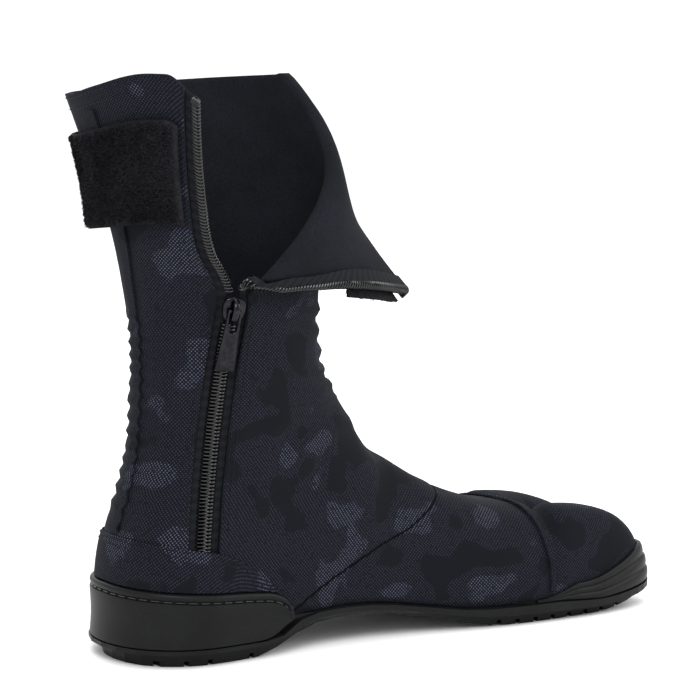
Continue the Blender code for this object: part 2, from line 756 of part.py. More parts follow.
def sole_walls(side, shift, notch):
    """Plan stations of half the sole: the cloth's edge moved outward by shift(x), from the heel's back along the
    foot's side to the toe's tip, then the same for the split, and which station is the split's root. Where the
    edge moves inward, notch times as much is taken off the split's root."""
    heel = half_ring(side, float(feather(JUNCTION)))[::-1]
    heel = on_line(heel, lengths(heel), np.linspace(0, lengths(heel)[-1], HEEL_STATIONS + 1))[:-1]
    xs = np.linspace(JUNCTION, SPLIT_ROOT, BALL_STATIONS + 1)[:-1]
    ball = np.array([[x, foot_side(side, x)] for x in xs])
    turn = np.concatenate([[0, 0.03], np.linspace(0, 1, TOE_STATIONS + 1)[1:]]) * math.pi / 2
    tip = TOES[side]["tip"]
    toe_xs = SPLIT_ROOT + (tip - SPLIT_ROOT) * np.minimum(np.sin(turn) ** (2 / 3), 1)
    walls = np.array([toe_walls(side, x) for x in toe_xs])
    edge = np.concatenate([heel, ball, np.stack([toe_xs, walls[:, 0]], 1)])
    split = np.stack([toe_xs, walls[:, 1]], 1)
    loop = np.concatenate([edge, split[::-1][1:]])
    root = len(heel) + len(ball)
    ahead = np.gradient(loop, axis=0)
    ahead[0] = [0.0, SIGN[side]]
    normal = np.stack([-ahead[:, 1], ahead[:, 0]], 1) * SIGN[side]
    normal /= np.linalg.norm(normal, axis=1)[:, None]
    room = np.concatenate([np.ones(len(edge)), ease((split[::-1][1:, 0] - SPLIT_ROOT) / SPLIT_LENGTH) ** 2])
    amount = np.array([float(shift(x)) for x in loop[:, 0]])
    amount = np.where(room < 1, np.minimum(amount, room * amount), amount)
    moved = loop + normal * amount[:, None]
    moved[-1] = [SPLIT_ROOT + notch * min(0.0, float(shift(SPLIT_ROOT))), SPLIT_SIDE]
    return moved[: len(edge)], moved[len(edge) - 1 :][::-1], root


def plate(name, layers, finish, notch=1.6):
    """A solid that follows the sole's outline. Each layer gives its shift from the cloth's edge and its height,
    as functions of X, from the top face's edge down to the bottom face's edge."""
    points, faces = [], []
    walls = {side: [sole_walls(side, shift, notch) for shift, _ in layers] for side in ("inner", "outer")}
    for side in ("inner", "outer"):
        rails = []
        for k, (_, height) in enumerate(layers):
            foot, split, root = walls[side][k]
            x = (walls["inner"][k][0][:root, 0] + walls["outer"][k][0][:root, 0]) / 2
            y = SPLIT_SIDE * ease((x + HEEL_BACK) / (SPLIT_ROOT + HEEL_BACK))
            split = np.concatenate([np.stack([x, y], 1), split])
            rails.append([np.column_stack([r, height(r[:, 0])]) for r in (foot, split)])
        count = len(rails[0][0])
        start = len(points)
        down = [r[0] for r in rails]
        up = [r[1] for r in rails][::-1]
        for i in range(count):
            points.extend(c[i] for c in down + up)
        width, half = 2 * len(layers), len(layers)
        for i in range(count - 1):
            for c in range(width):
                inside_wall = half <= c < width - 1
                if inside_wall and i < root:
                    continue
                d = (c + 1) % width
                one, two = start + i * width, start + (i + 1) * width
                faces.append((one + c, one + d, two + d, two + c))
    return add(name, points, faces, finish)


def from_sole(column, scale=1.0):
    return lambda x: blend(SOLE, column, along(x)) * scale


def make_outsole(finish):
    layers = [
        (lambda x: -PLATFORM_INSET, from_sole("top", ARCH_TOP)),
        (from_sole("platform_out", MM), lambda x: blend(SOLE, "ledge_top", along(x)) * ARCH_TOP + LEDGE_EASE),
        (from_sole("ledge_out", MM), from_sole("ledge_top", ARCH_TOP)),
        (from_sole("ledge_out", MM), from_sole("ledge_low", ARCH_TOP)),
        (from_sole("block_out", MM), lambda x: blend(SOLE, "ledge_low", along(x)) * ARCH_TOP - BLOCK_EASE),
        (lambda x: blend(SOLE, "block_out", along(x)) * MM - BLOCK_DRAFT, from_sole("bottom", ARCH_TOP)),
    ]
    outsole = plate("outsole", layers, finish)
    points, faces = [], []
    for x in [place(f) for f in TREAD["along"]]:
        base = len(points)
        corners = [(-1, -1), (1, -1), (1, 1), (-1, 1)]
        for z in (-0.01, TREAD_DEPTH + float(blend(SOLE, "bottom", along(x))) * ARCH_TOP):
            points += [(x + cx * TREAD_WIDTH / 2, cy * BALL_WIDTH, z) for cx, cy in corners]
        faces += [tuple(base + k for k in f) for f in BOX]
    cutter = add("tread_cutter", points, faces, finish, smooth=False)
    BOOT.objects.unlink(cutter)
    CUTTERS.objects.link(cutter)
    cutter.hide_render = True
    cutter.display_type = "WIRE"
    grooves = outsole.modifiers.new("Tread", "BOOLEAN")
    grooves.operation, grooves.solver, grooves.object = "DIFFERENCE", "EXACT", cutter


def make_insole(finish):
    inset = WALL + 2.5 * SEAT_GAP
    layers = [
        (lambda x: -inset, lambda x: feather(x) + INSOLE_THICKNESS),
        (lambda x: -inset, lambda x: feather(x)),
    ]
    plate("insole", layers, finish, notch=6.0)


def above_ledge(x):
    """A height that clears the sole's ledge near X, ledge out to its rim included."""
    near = along(x + np.linspace(-0.003, 0.005, 5))
    return float(np.max(blend(SOLE, "ledge_top", near))) * ARCH_TOP + GAP


def cup_top(share):
    return float(blend(CUP, "up", abs(share) / CUP_REACH))


def make_heel_cup(finish):
    spot = raised(heel_skin, -1)

    def section(share):
        top = cup_top(share)
        low = above_ledge(heel_skin(share, 0.012)[0])
        seat, out = SEAT_GAP, SEAT_GAP + CUP_THICKNESS
        groove = top - BEAD_HEIGHT
        lines = [
            (low, seat),
            (low, out),
            (groove - 0.0006, out + 0.0001),
            (groove, out - GROOVE_DEPTH),
            (groove + 0.0007, out + 0.0001),
            (top - 0.0007, out),
            (top, out - 0.0008),
            (top, seat),
        ]
        return [spot(share, z, off) for z, off in lines]

    loft("heel_cup", np.linspace(-CUP_REACH, CUP_REACH, 41), section, finish)


def make_counter(finish):
    spot = raised(heel_skin, -1)

    def section(share):
        bottom = cup_top(share) + 2 * GAP
        top = float(blend(COUNTER, "up", abs(share) / COUNTER_REACH))
        levels = np.linspace(bottom, max(top, bottom + 0.0015), 4)
        under = [spot(share, z, SEAT_GAP) for z in levels]
        return under + [spot(share, z, SEAT_GAP + OVERLAY) for z in levels[::-1]]

    loft("heel_counter", np.linspace(-COUNTER_REACH, COUNTER_REACH, 31), section, finish)


def make_back_strip(finish):
    spot = raised(back_skin, -1, (0.0005, 0.0008))
    low, high = COUNTER["up"][0] + 0.0022, SHAFT_HEIGHT - 0.0100
    levels = np.concatenate([np.linspace(low, ZIP_SLIDER - 0.004, 12), np.linspace(ZIP_SLIDER + 0.004, high, 9)])
    across = np.linspace(-STRIP_WIDTH / 2, STRIP_WIDTH / 2, 3)

    def section(level):
        rows = []
        for off in (GAP, GAP + OVERLAY):
            row = [spot(a, level, off) for a in across]
            rows += row if off == GAP else row[::-1]
        return rows

    loft("back_strip", levels, section, finish)


def back_skin(reach, level):
    """The skin at the back: reach is the distance from the middle, towards the outer side."""
    if level <= ZIP_SLIDER:
        points, run, _, _, back = ring(level)
        x, y = on_line(points, run, back + reach)
        return np.array([x, y, float(level_at(x, level))])
    whole, length, back, _ = open_row((level - ZIP_SLIDER) / (SHAFT_HEIGHT - ZIP_SLIDER))
    return on_line(whole, length, back + reach)


def make_toe_seam(finish):
    spot = raised(foot_skin, -1, (0.01, 0.0008))

    def section(share):
        back, front = SEAM_X, SEAM_X + SEAM_WIDTH
        return [
            spot(share, x, off)
            for x, off in ((back, GAP), (front, GAP), (front, GAP + OVERLAY), (back, GAP + OVERLAY))
        ]

    loft("toe_seam", np.linspace(-0.975, 0.975, 31), section, finish)


def make_toe_guard(side, finish):
    spot = raised(lambda share, z: toe_skin(side, share, z), 1 if side == "inner" else -1, (0.006, 0.0004))
    stations = np.concatenate([np.linspace(GUARD_FROM, 0.0, 5)[:-1], np.linspace(0, GUARD_TO, 23)])

    def section(share):
        low = above_ledge(toe_skin(side, share, 0.012)[0])
        grow = float(ease((share - GUARD_FROM) / 0.60))
        fade = 1 - float(ease((share - 0.56) / (GUARD_TO - 0.56)))
        top = low + 0.0012 + (GUARD_TOP - low - 0.0012) * grow * (0.40 + 0.60 * fade)
        thick = GUARD_THICKNESS * (0.22 + 0.78 * min(grow * 2.2, 1)) * (0.18 + 0.82 * fade)
        step = (top - low) / 3
        lines = [
            (low, SEAT_GAP),
            (low, SEAT_GAP + thick),
            (low + step * 0.92, SEAT_GAP + thick),
            (low + step, SEAT_GAP + thick * 0.80),
            (low + step * 1.92, SEAT_GAP + thick * 0.78),
            (low + step * 2.0, SEAT_GAP + thick * 0.58),
            (top - 0.0006, SEAT_GAP + thick * 0.50),
            (top, SEAT_GAP + thick * 0.28),
            (top, SEAT_GAP),
            (low + step * 1.5, SEAT_GAP),
        ]
        return [spot(share, z, off) for z, off in lines]

    loft("toe_guard_big" if side == "inner" else "toe_guard_small", stations, section, finish)


def zip_spot(row):
    facing = -1 if row == "rear" else 1
    return raised(lambda reach, level: zip_skin(row, reach, level), facing, (0.0006, 0.0010))


def make_tape(row, finish):
    """One side of the zip's tape: inside the wall, with its free edge in the slot and then in the open."""
    spot = zip_spot(row)
    levels = np.concatenate(
        [
            np.linspace(ZIP_BOTTOM - 0.008, ZIP_SLIDER - 0.006, 9),
            np.linspace(ZIP_SLIDER + 0.0015, SHAFT_HEIGHT - 0.0015, OPEN_STATIONS),
        ]
    )
    edge = -(ZIP_SLOT / 2 - COIL_WIDTH / 2)

    def section(level):
        open_part = (level - ZIP_SLIDER) / (SHAFT_HEIGHT - ZIP_SLIDER)
        tuck = TAPE_TUCK * float(1.4 * ease(abs(open_part - 0.08) / 0.17) - 0.4)
        tuck = tuck if row == "front" and open_part > -0.07 else TAPE_TUCK
        depth = WALL + TAPE_GAP
        if row == "front":
            depth += 0.0016 * float(1 - ease(abs(open_part - 0.13) / 0.14))
        return [
            spot(reach, level, off)
            for reach, off in (
                (edge, -depth),
                (tuck, -depth),
                (tuck, -depth - TAPE_THICKNESS),
                (edge, -depth - TAPE_THICKNESS),
            )
        ]

    loft("zip_tape_" + row, levels, section, finish)


def bead(spot, reach, level, width, base, height):
    """A rounded section that stands on the tape."""
    shape = [(-0.5, 0.0), (-0.5, 0.55), (-0.28, 1.0), (0.28, 1.0), (0.5, 0.55), (0.5, 0.0)]
    return [spot(reach + a * width, level, base + b * height) for a, b in shape]


def make_coils(finish):
    base = -WALL - TAPE_GAP + SEAT_GAP
    front = zip_spot("front")
    middle = ZIP_SLOT / 2

    loft(
        "zip_chain",
        np.linspace(ZIP_BOTTOM + 0.0048, SLIDER_LEVEL - SLIDER_LENGTH / 2 - 0.0006, 15),
        lambda level: bead(front, -middle, level, 2 * COIL_WIDTH - 0.0004, base, COIL_HEIGHT),
        finish,
    )
    for row, start in (("rear", 0.0045), ("front", 0.0130)):
        spot = zip_spot(row)
        loft(
            "zip_coil_" + row,
            np.linspace(ZIP_SLIDER + start, SHAFT_HEIGHT - 0.0025, OPEN_STATIONS),
            lambda level: bead(spot, -(middle - COIL_WIDTH / 2 - 0.0002), level, COIL_WIDTH, base, COIL_HEIGHT),
            finish,
        )


def slider_frame():
    """The slider's place and its three directions: forward, up the zip and outward."""
    spot = zip_spot("front")
    here = spot(-ZIP_SLOT / 2, SLIDER_LEVEL, 0)
    below = spot(-ZIP_SLOT / 2, SLIDER_LEVEL - 0.008, 0)
    up = (here - below) / np.linalg.norm(here - below)
    out = spot(-ZIP_SLOT / 2, SLIDER_LEVEL, 0.01) - here
    out -= up * out.dot(up)
    out /= np.linalg.norm(out)
    forward = np.cross(up, out)
    return here, forward, up, out


def placed(frame, points):
    here, forward, up, out = frame
    return [here + forward * a + up * b + out * c for a, b, c in points]


def strap(line, width, thickness, sides=8):
    """Sections of a flat rounded strap along a line of points in the plane across the slider."""
    side = np.array([1.0, 0.0, 0.0])
    turn = np.linspace(0, 2 * math.pi, sides + 1)[:-1] + math.pi / sides
    rings = []
    for point, ahead in zip(line, np.gradient(line, axis=0)):
        lift = np.cross(side, ahead / np.linalg.norm(ahead))
        rings.append([point + width / 2 * math.cos(t) * side + thickness / 2 * math.sin(t) * lift for t in turn])
    return rings


def make_slider(metal, pull_metal):
    frame = slider_frame()
    wide, narrow, long = SLIDER_WIDTH / 2, SLIDER_WIDTH * 0.38, SLIDER_LENGTH / 2
    low, high = -WALL + 0.0003, SLIDER_HEIGHT - WALL
    outline = [(-narrow, -long), (narrow, -long), (wide * 0.96, -long * 0.1), (wide, long * 0.7), (wide * 0.55, long)]
    outline += [(-a, b) for a, b in outline[:1:-1]]
    rings = [
        [(a * share, b * share, level) for a, b in outline]
        for share, level in ((0.72, low), (0.72, 0.0004), (1.0, 0.0008), (1.0, high - 0.0008), (0.84, high))
    ]
    body = loft("zip_slider", range(5), lambda i: placed(frame, rings[i]), metal, smooth=False)
    top = high + BRIDGE_ROOM
    arc = np.linspace(0, math.pi, 9)
    line = np.array(
        [(0, 0.0046 * math.cos(t), high - 0.0012 + (top - high + 0.0012) * math.sin(t) ** 0.6) for t in arc]
    )
    bars = strap(line, BRIDGE_WIDTH, BRIDGE_THICKNESS)
    bridge = loft("slider_bridge", range(len(arc)), lambda i: placed(frame, bars[i]), metal)
    BOOT.objects.unlink(bridge)
    CUTTERS.objects.link(bridge)
    bridge.hide_render = True
    bridge.display_type = "WIRE"
    join = body.modifiers.new("Bridge", "BOOLEAN")
    join.operation, join.solver, join.object = "UNION", "EXACT", bridge

    axis = high + PULL_AXIS
    half, eye = PULL_WIDTH / 2, PULL_EYE / 2
    bar = PULL_THICKNESS / 2
    tail = bar - PULL_LENGTH
    outer = [
        (half * 0.66, bar),
        (half * 0.72, bar - 0.0045),
        (half * 0.80, bar - 0.0115),
        (half, tail + 0.0025),
        (half * 0.72, tail),
    ]
    points, faces = [], []
    outline = outer + [(-a, b) for a, b in outer[::-1]]
    hole = [(eye, -bar), (eye, -0.0082), (-eye, -0.0082), (-eye, -bar)]
    frame_faces = [(0, 1, 11, 10), (1, 2, 11), (2, 7, 12, 11), (7, 8, 12), (8, 9, 13, 12), (9, 0, 10, 13)]
    frame_faces.append((2, 3, 4, 5, 6, 7))
    for level in (axis - bar, axis + bar):
        points += [(a, b, level) for a, b in outline + hole]
    count = len(outline) + len(hole)
    faces += frame_faces + [tuple(i + count for i in f[::-1]) for f in frame_faces]
    for ring_of in (list(range(10)), [10, 11, 12, 13]):
        for i, one in enumerate(ring_of):
            two = ring_of[(i + 1) % len(ring_of)]
            faces.append((one, two, two + count, one + count))
    add("zip_pull", placed(frame, points), faces, pull_metal, smooth=False)


def make_tab(finish):
    """The closing tab: sewn at the zip's rear edge and folded back round the shaft, its lower edge standing off."""

    def skin(reach, rise):
        whole, length, _, _ = open_row(rise)
        return on_line(whole, length, reach)

    spot = raised(skin, -1, (0.0010, 0.006))

    def section(reach):
        share = (reach - TAB_START) / TAB_LENGTH
        swell = math.sin(math.pi * min(1.0, share * 1.05)) ** 2
        shape = []
        for rise, lift in ((TAB_LOW, 1.0), ((TAB_LOW + TAB_HIGH) / 2, 0.42), (TAB_HIGH, 0.06)):
            shape.append((rise, TAB_GAP + swell * TAB_STAND_OFF * lift))
        under = [spot(reach, rise, off) for rise, off in shape]
        over = [spot(reach, rise, off + TAB_THICKNESS) for rise, off in shape[::-1]]
        return under + over

    loft("closing_tab", np.linspace(TAB_START, TAB_START + TAB_LENGTH, 25), section, finish)


def make_patch(finish):
    """The loop patch on the flap's outer face, which is turned down against the shaft."""
    spot = zip_spot("front")
    lift = COIL_HEIGHT - WALL - GAP + 0.0006
    levels = ZIP_SLIDER + np.linspace(0.62, 0.91, 9) * (SHAFT_HEIGHT - ZIP_SLIDER)

    def section(level):
        reaches = np.linspace(PATCH_OVERHANG, PATCH_OVERHANG + PATCH_WIDTH, 5)
        near = [spot(r, level, lift) for r in reaches]
        far = [spot(r, level, lift + PATCH_THICKNESS) for r in reaches[::-1]]
        return near + far

    loft("loop_patch", levels, section, finish)


def main():
    for old in list(bpy.data.objects):
        bpy.data.objects.remove(old, do_unlink=True)
    global BOOT, CUTTERS
    BOOT, CUTTERS = collection("jika_tabi"), collection("cutters")
    cloth = material("dotted_cotton_duck", (0.012, 0.014, 0.022), 0.85)
    band = material("woven_polyester_tape", (0.010, 0.011, 0.014), 0.80)
    nylon = material("black_nylon", (0.012, 0.012, 0.013), 0.35)
    pile = material("black_hook_and_loop", (0.004, 0.004, 0.004), 0.95)
    rubber = material("black_rubber", (0.020, 0.021, 0.022), 0.55)
    zinc = material("black_nickel_zinc", (0.030, 0.030, 0.034), 0.30, 1.0)
    foam = material("grey_foam_insole", (0.050, 0.052, 0.058), 0.90)
    upper = make_upper(cloth)
    give_wall(upper, WALL)
    make_outsole(rubber)
    make_insole(foam)
    make_heel_cup(rubber)
    for side in ("inner", "outer"):
        make_toe_guard(side, rubber)
    make_counter(cloth)
    make_back_strip(cloth)
    make_toe_seam(cloth)
    for row in ("rear", "front"):
        make_tape(row, band)
    make_coils(nylon)
    make_slider(zinc, zinc)
    make_tab(pile)
    make_patch(pile)


main()
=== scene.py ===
"""The looks of a jika tabi: the finish of its cloth, rubber, zip and closing tab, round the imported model.

Metres, +X towards the toes, +Y towards the outer side, +Z up. The origin is under the heel, on the ground.
"""

import bisect
import math

import bmesh
import bpy
import numpy as np
from bpy.props import FloatProperty, FloatVectorProperty, IntProperty, PointerProperty
from mathutils import Matrix, Vector, noise
from mathutils.bvhtree import BVHTree


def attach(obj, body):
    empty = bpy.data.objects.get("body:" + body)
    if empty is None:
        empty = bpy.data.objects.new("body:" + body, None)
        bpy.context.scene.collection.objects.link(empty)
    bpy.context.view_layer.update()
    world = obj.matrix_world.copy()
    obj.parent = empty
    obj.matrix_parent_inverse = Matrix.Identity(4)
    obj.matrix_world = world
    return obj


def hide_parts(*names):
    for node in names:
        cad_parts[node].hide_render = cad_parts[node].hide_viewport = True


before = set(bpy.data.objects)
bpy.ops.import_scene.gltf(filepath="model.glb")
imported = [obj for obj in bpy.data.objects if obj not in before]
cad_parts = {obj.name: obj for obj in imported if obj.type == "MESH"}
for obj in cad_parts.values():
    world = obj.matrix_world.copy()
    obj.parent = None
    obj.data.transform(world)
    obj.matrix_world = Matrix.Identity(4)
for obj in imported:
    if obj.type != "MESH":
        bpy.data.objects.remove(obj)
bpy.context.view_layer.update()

bl_info = {
    "name": "Jika tabi looks",
    "version": (1, 0, 0),
    "blender": (4, 5, 0),
    "location": "View3D > Sidebar > Jika tabi",
    "description": "Builds the finished surfaces of a split-toed cloth boot round its fixed frame",
    "category": "Object",
}

BODY, PULL_BODY = "boot", "pull_tab"
MM = 0.001

# Driving sizes of the boot, in metres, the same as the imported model's
SOLE_LENGTH = 0.2820
HEEL_BACK = 0.0390
BALL_WIDTH = 0.0980
TOE_HEIGHT = 0.0510
INSTEP_HEIGHT = 0.1080
ARCH_TOP = 0.0180
ANKLE_LENGTH = 0.0890
ANKLE_WIDTH = 0.0680
SHAFT_HEIGHT = 0.2570
WALL = 0.0020
OVERLAY = 0.0009
GAP = 0.0003
SEAT_GAP = 0.0004
SPLIT_LENGTH = 0.0500
SPLIT_GAP = 0.0022
SPLIT_SIDE = -0.0105
VALLEY_LENGTH = 0.0130
BIG_TOE_CENTRE = -0.0310
SMALL_TOE_CENTRE = 0.0090
TOE_CLEARANCE = 0.0062
SMALL_TOE_SHORTER = 0.0030
SMALL_TOE_LOWER = 0.0018
TOE_DROP = 0.10
TOE_NOSE = 3.0
CUP_THICKNESS = 0.0026
CUP_REACH = 0.680
COUNTER_REACH = 0.630
STRIP_WIDTH = 0.0050
SEAM_X = 0.1712
SEAM_WIDTH = 0.0048
BEAD_HEIGHT = 0.0036
GROOVE_DEPTH = 0.0009
GUARD_THICKNESS = 0.0036
GUARD_FROM = -0.230
GUARD_TO = 0.64
GUARD_TOP = 0.0290
ZIP_BOTTOM = 0.0500
ZIP_SLIDER = 0.1560
ZIP_SLOT = 0.0112
TAPE_TUCK = 0.0036
TAPE_THICKNESS = 0.0007
TAPE_GAP = 0.0006
COIL_WIDTH = 0.0036
COIL_HEIGHT = 0.0026
OPEN_ZIP = 0.0970
FOLD_ROLL = 0.0060
SLIDER_LENGTH = 0.0115
SLIDER_LEVEL = 0.1530
SLIDER_WIDTH = 0.0104
SLIDER_HEIGHT = 0.0046
PULL_LENGTH = 0.0270
PULL_WIDTH = 0.0084
PULL_THICKNESS = 0.0016
PULL_EYE = 0.0042
PULL_AXIS = 0.0014
BRIDGE_ROOM = 0.0037
BRIDGE_WIDTH = 0.0028
BRIDGE_THICKNESS = 0.0013
TAB_START = 0.0040
TAB_LENGTH = 0.1150
TAB_LOW = 0.360
TAB_HIGH = 0.815
TAB_THICKNESS = 0.0022
TAB_GAP = 0.0015
TAB_STAND_OFF = 0.0060
PATCH_OVERHANG = -0.0085
PATCH_WIDTH = 0.0240
PATCH_THICKNESS = 0.0016

# What the eye sees of the zip's tape beyond the slot: the cloth's edge is turned back this much
BINDING = 0.0016

# Sections of the foot, from the instep to the split.
# along: share of SOLE_LENGTH from the heel's back. inner, outer: half widths, as shares of BALL_WIDTH.
# ridge: height of the top line, as a share of INSTEP_HEIGHT. crest: its side shift, as a share of BALL_WIDTH.
# square: the exponent of the section's curve, 2 for an ellipse.
FOOT = {
    "along": (0.415, 0.4645, 0.511, 0.557, 0.599, 0.645, 0.688, 0.723, 0.759, 0.805),
    "inner": (0.362, 0.374, 0.390, 0.415, 0.440, 0.468, 0.490, 0.500, 0.505, 0.505),
    "outer": (0.367, 0.385, 0.408, 0.436, 0.464, 0.488, 0.500, 0.500, 0.492, 0.474),
    "ridge": (1.000, 0.795, 0.715, 0.640, 0.585, 0.535, 0.500, 0.483, 0.471, 0.462),
    "crest": (-0.030, -0.036, -0.045, -0.053, -0.062, -0.072, -0.082, -0.092, -0.102, -0.107),
    "square": (1.80, 1.84, 1.90, 2.00, 2.10, 2.22, 2.34, 2.44, 2.54, 2.64),
}

# Rings of the heel and shaft, from the sole to the collar.
# up: height as a share of SHAFT_HEIGHT. back, widest, front: X as shares of ANKLE_LENGTH.
# half: half width as a share of ANKLE_WIDTH. curve: the exponent of the rear half.
# Below the instep the ring has no front of its own: it runs into the foot.
SHAFT = {
    "up": (
        0.054, 0.117, 0.175, 0.233, 0.292, 0.350, 0.420,
        0.486, 0.545, 0.615, 0.716, 0.848, 1.000,
    ),
    "back": (
        -0.404, -0.404, -0.391, -0.350, -0.292, -0.256, -0.241,
        -0.236, -0.244, -0.272, -0.315, -0.405, -0.550,
    ),
    "widest": (
        0.000, 0.000, 0.011, 0.034, 0.090, 0.157, 0.225,
        0.264, 0.258, 0.234, 0.210, 0.146, 0.075,
    ),
    "front": (
        0.900, 0.900, 0.900, 0.900, 0.900, 0.900, 0.876,
        0.770, 0.752, 0.739, 0.749, 0.758, 0.755,
    ),
    "half": (
        0.508, 0.519, 0.510, 0.485, 0.470, 0.475, 0.485,
        0.493, 0.507, 0.544, 0.618, 0.743, 0.830,
    ),
    "curve": (
        2.10, 2.10, 2.10, 2.10, 2.10, 2.05, 2.00,
        2.00, 2.00, 2.00, 2.00, 2.00, 2.00,
    ),
}

# The zip's centre line on the inner side: X as a share of ANKLE_LENGTH at each share of SHAFT_HEIGHT.
# Above the slider it is the rear row's line, which has swung back.
ZIP_LINE = {
    "up": (0.194, 0.284, 0.381, 0.463, 0.514, 0.572, 0.607, 0.640, 0.700, 0.786, 0.860, 0.922, 1.000),
    "x": (-0.090, -0.055, -0.018, 0.014, 0.032, 0.050, 0.056, 0.034, -0.058, -0.130, -0.178, -0.208, -0.240),
}

# Height of the collar's edge as a share of SHAFT_HEIGHT, round the shaft from the zip's rear row,
# past the back and the outer side, to the zip's front row before it was folded down.
COLLAR = {
    "round": (0.00, 0.03, 0.07, 0.15, 0.23, 0.36, 0.50, 0.66, 0.82, 1.00),
    "up": (0.955, 0.978, 0.977, 0.956, 0.942, 0.946, 0.962, 0.976, 0.985, 0.990),
}

# Where the folded-down flap leaves the shaft: rise is the share of the way from the slider to the collar,
# round the share of the way from the zip's front edge to the middle of the shaft's front.
FOLD = {
    "rise": (0.00, 0.15, 0.30, 0.50, 0.70, 0.85, 1.00),
    "round": (0.000, 0.155, 0.315, 0.525, 0.725, 0.865, 1.000),
}

# The flap's zip edge: forward, outward and upward from the slider, as shares of OPEN_ZIP.
FLAP_EDGE = {
    "rise": (0.00, 0.06, 0.14, 0.25, 0.40, 0.55, 0.70, 0.85, 1.00),
    "forward": (0.000, 0.010, 0.060, 0.165, 0.315, 0.465, 0.625, 0.785, 0.950),
    "outward": (0.000, 0.022, 0.050, 0.074, 0.072, 0.042, -0.005, -0.070, -0.150),
    "upward": (0.000, 0.054, 0.082, 0.090, 0.092, 0.090, 0.072, 0.044, 0.010),
}

# The sole along its length.
# along: share of SOLE_LENGTH. top: height of the cloth's lower edge, as a share of ARCH_TOP.
# ledge_top: height of the outer ledge, in the same shares.
SOLE = {
    "along": (
        0.000, 0.125, 0.200, 0.245, 0.270, 0.300, 0.360, 0.425,
        0.510, 0.580, 0.640, 0.690, 0.750, 0.850, 0.920, 1.000,
    ),
    "top": (
        0.880, 0.880, 0.880, 0.890, 0.920, 0.960, 1.000, 0.970,
        0.770, 0.600, 0.550, 0.550, 0.620, 0.640, 0.690, 0.830,
    ),
    "ledge_top": (
        0.445, 0.445, 0.445, 0.520, 0.760, 0.915, 0.965, 0.930,
        0.735, 0.565, 0.515, 0.515, 0.515, 0.440, 0.530, 0.710,
    ),
}

# Height of the heel counter's seam from the middle of the back forward, on both sides.
COUNTER = {
    "round": (0.00, 0.20, 0.40, 0.55, 0.64, 0.75, 0.87, 0.95, 1.00),
    "up": (0.0540, 0.0534, 0.0518, 0.0495, 0.0480, 0.0445, 0.0380, 0.0330, 0.0300),
}

# Height of the heel cup's top edge in the same way.
CUP = {
    "round": (0.00, 0.30, 0.60, 0.80, 0.90, 0.96, 1.00),
    "up": (0.0340, 0.0330, 0.0312, 0.0298, 0.0284, 0.0258, 0.0222),
}

# Periods of the cloth's and the tape's broad cross ribs
CLOTH_RIB = math.tau * 0.8 * MM
TAPE_RIB = math.tau * 0.7 * MM

# Steps of the fine mesh: between two levels of a section, along the foot and a toe stall, round the shaft in
# front of the slot, behind it and on the outer side, and up to the slider. DENSE is the points of a dense row.
SECTION_STEPS = 9
FINE = 4
FOOT_ROWS = 60
TOE_ROWS = 44
FRONT_STEPS = 46
BACK_STEPS = 36
OUTER_STEPS = 76
LOW_RINGS = 26
DENSE = 120

# Creases of the worn cloth, seen from the side: the boot's side, then x1, z1, x2, z2 of the line and its half
# width in millimetres, then its height as a share of CREASE_HEIGHT, negative for a trough.
CREASE_HEIGHT = 2.1 * MM
CREASES = (
    ("inner", 36, 143, 66, 140, 4, -0.5),
    ("inner", 30, 130, 62, 124, 5, 0.5),
    ("inner", 20, 118, 64, 118, 4, -0.6),
    ("inner", 26, 104, 66, 112, 5, 0.6),
    ("inner", 30, 92, 72, 104, 4, -0.7),
    ("inner", 24, 80, 58, 96, 6, -0.4),
    ("inner", 52, 84, 84, 92, 4, -0.6),
    ("inner", 58, 72, 96, 76, 5, 0.6),
    ("inner", 62, 92, 88, 96, 4, 0.4),
    ("inner", 40, 64, 72, 76, 6, -0.4),
    ("inner", 84, 52, 112, 62, 5, -0.4),
    ("inner", 98, 56, 128, 62, 4, 0.4),
    ("inner", 116, 42, 142, 50, 4, -0.5),
    ("inner", 140, 40, 160, 44, 4, -0.3),
    ("inner", 14, 66, 30, 84, 6, 0.5),
    ("inner", -20, 120, 2, 126, 6, 0.4),
    ("inner", -24, 96, -6, 104, 5, -0.4),
    ("outer", 34, 142, 66, 138, 5, -0.5),
    ("outer", 28, 122, 64, 120, 5, 0.5),
    ("outer", 30, 100, 70, 108, 5, -0.6),
    ("outer", 50, 86, 80, 92, 5, 0.5),
    ("outer", 62, 74, 100, 78, 5, -0.5),
    ("outer", 90, 50, 120, 62, 5, -0.4),
    ("outer", 110, 40, 142, 48, 5, 0.4),
    ("outer", -20, 110, 6, 118, 6, 0.4),
    ("outer", 0, 70, 26, 86, 6, -0.4),
)

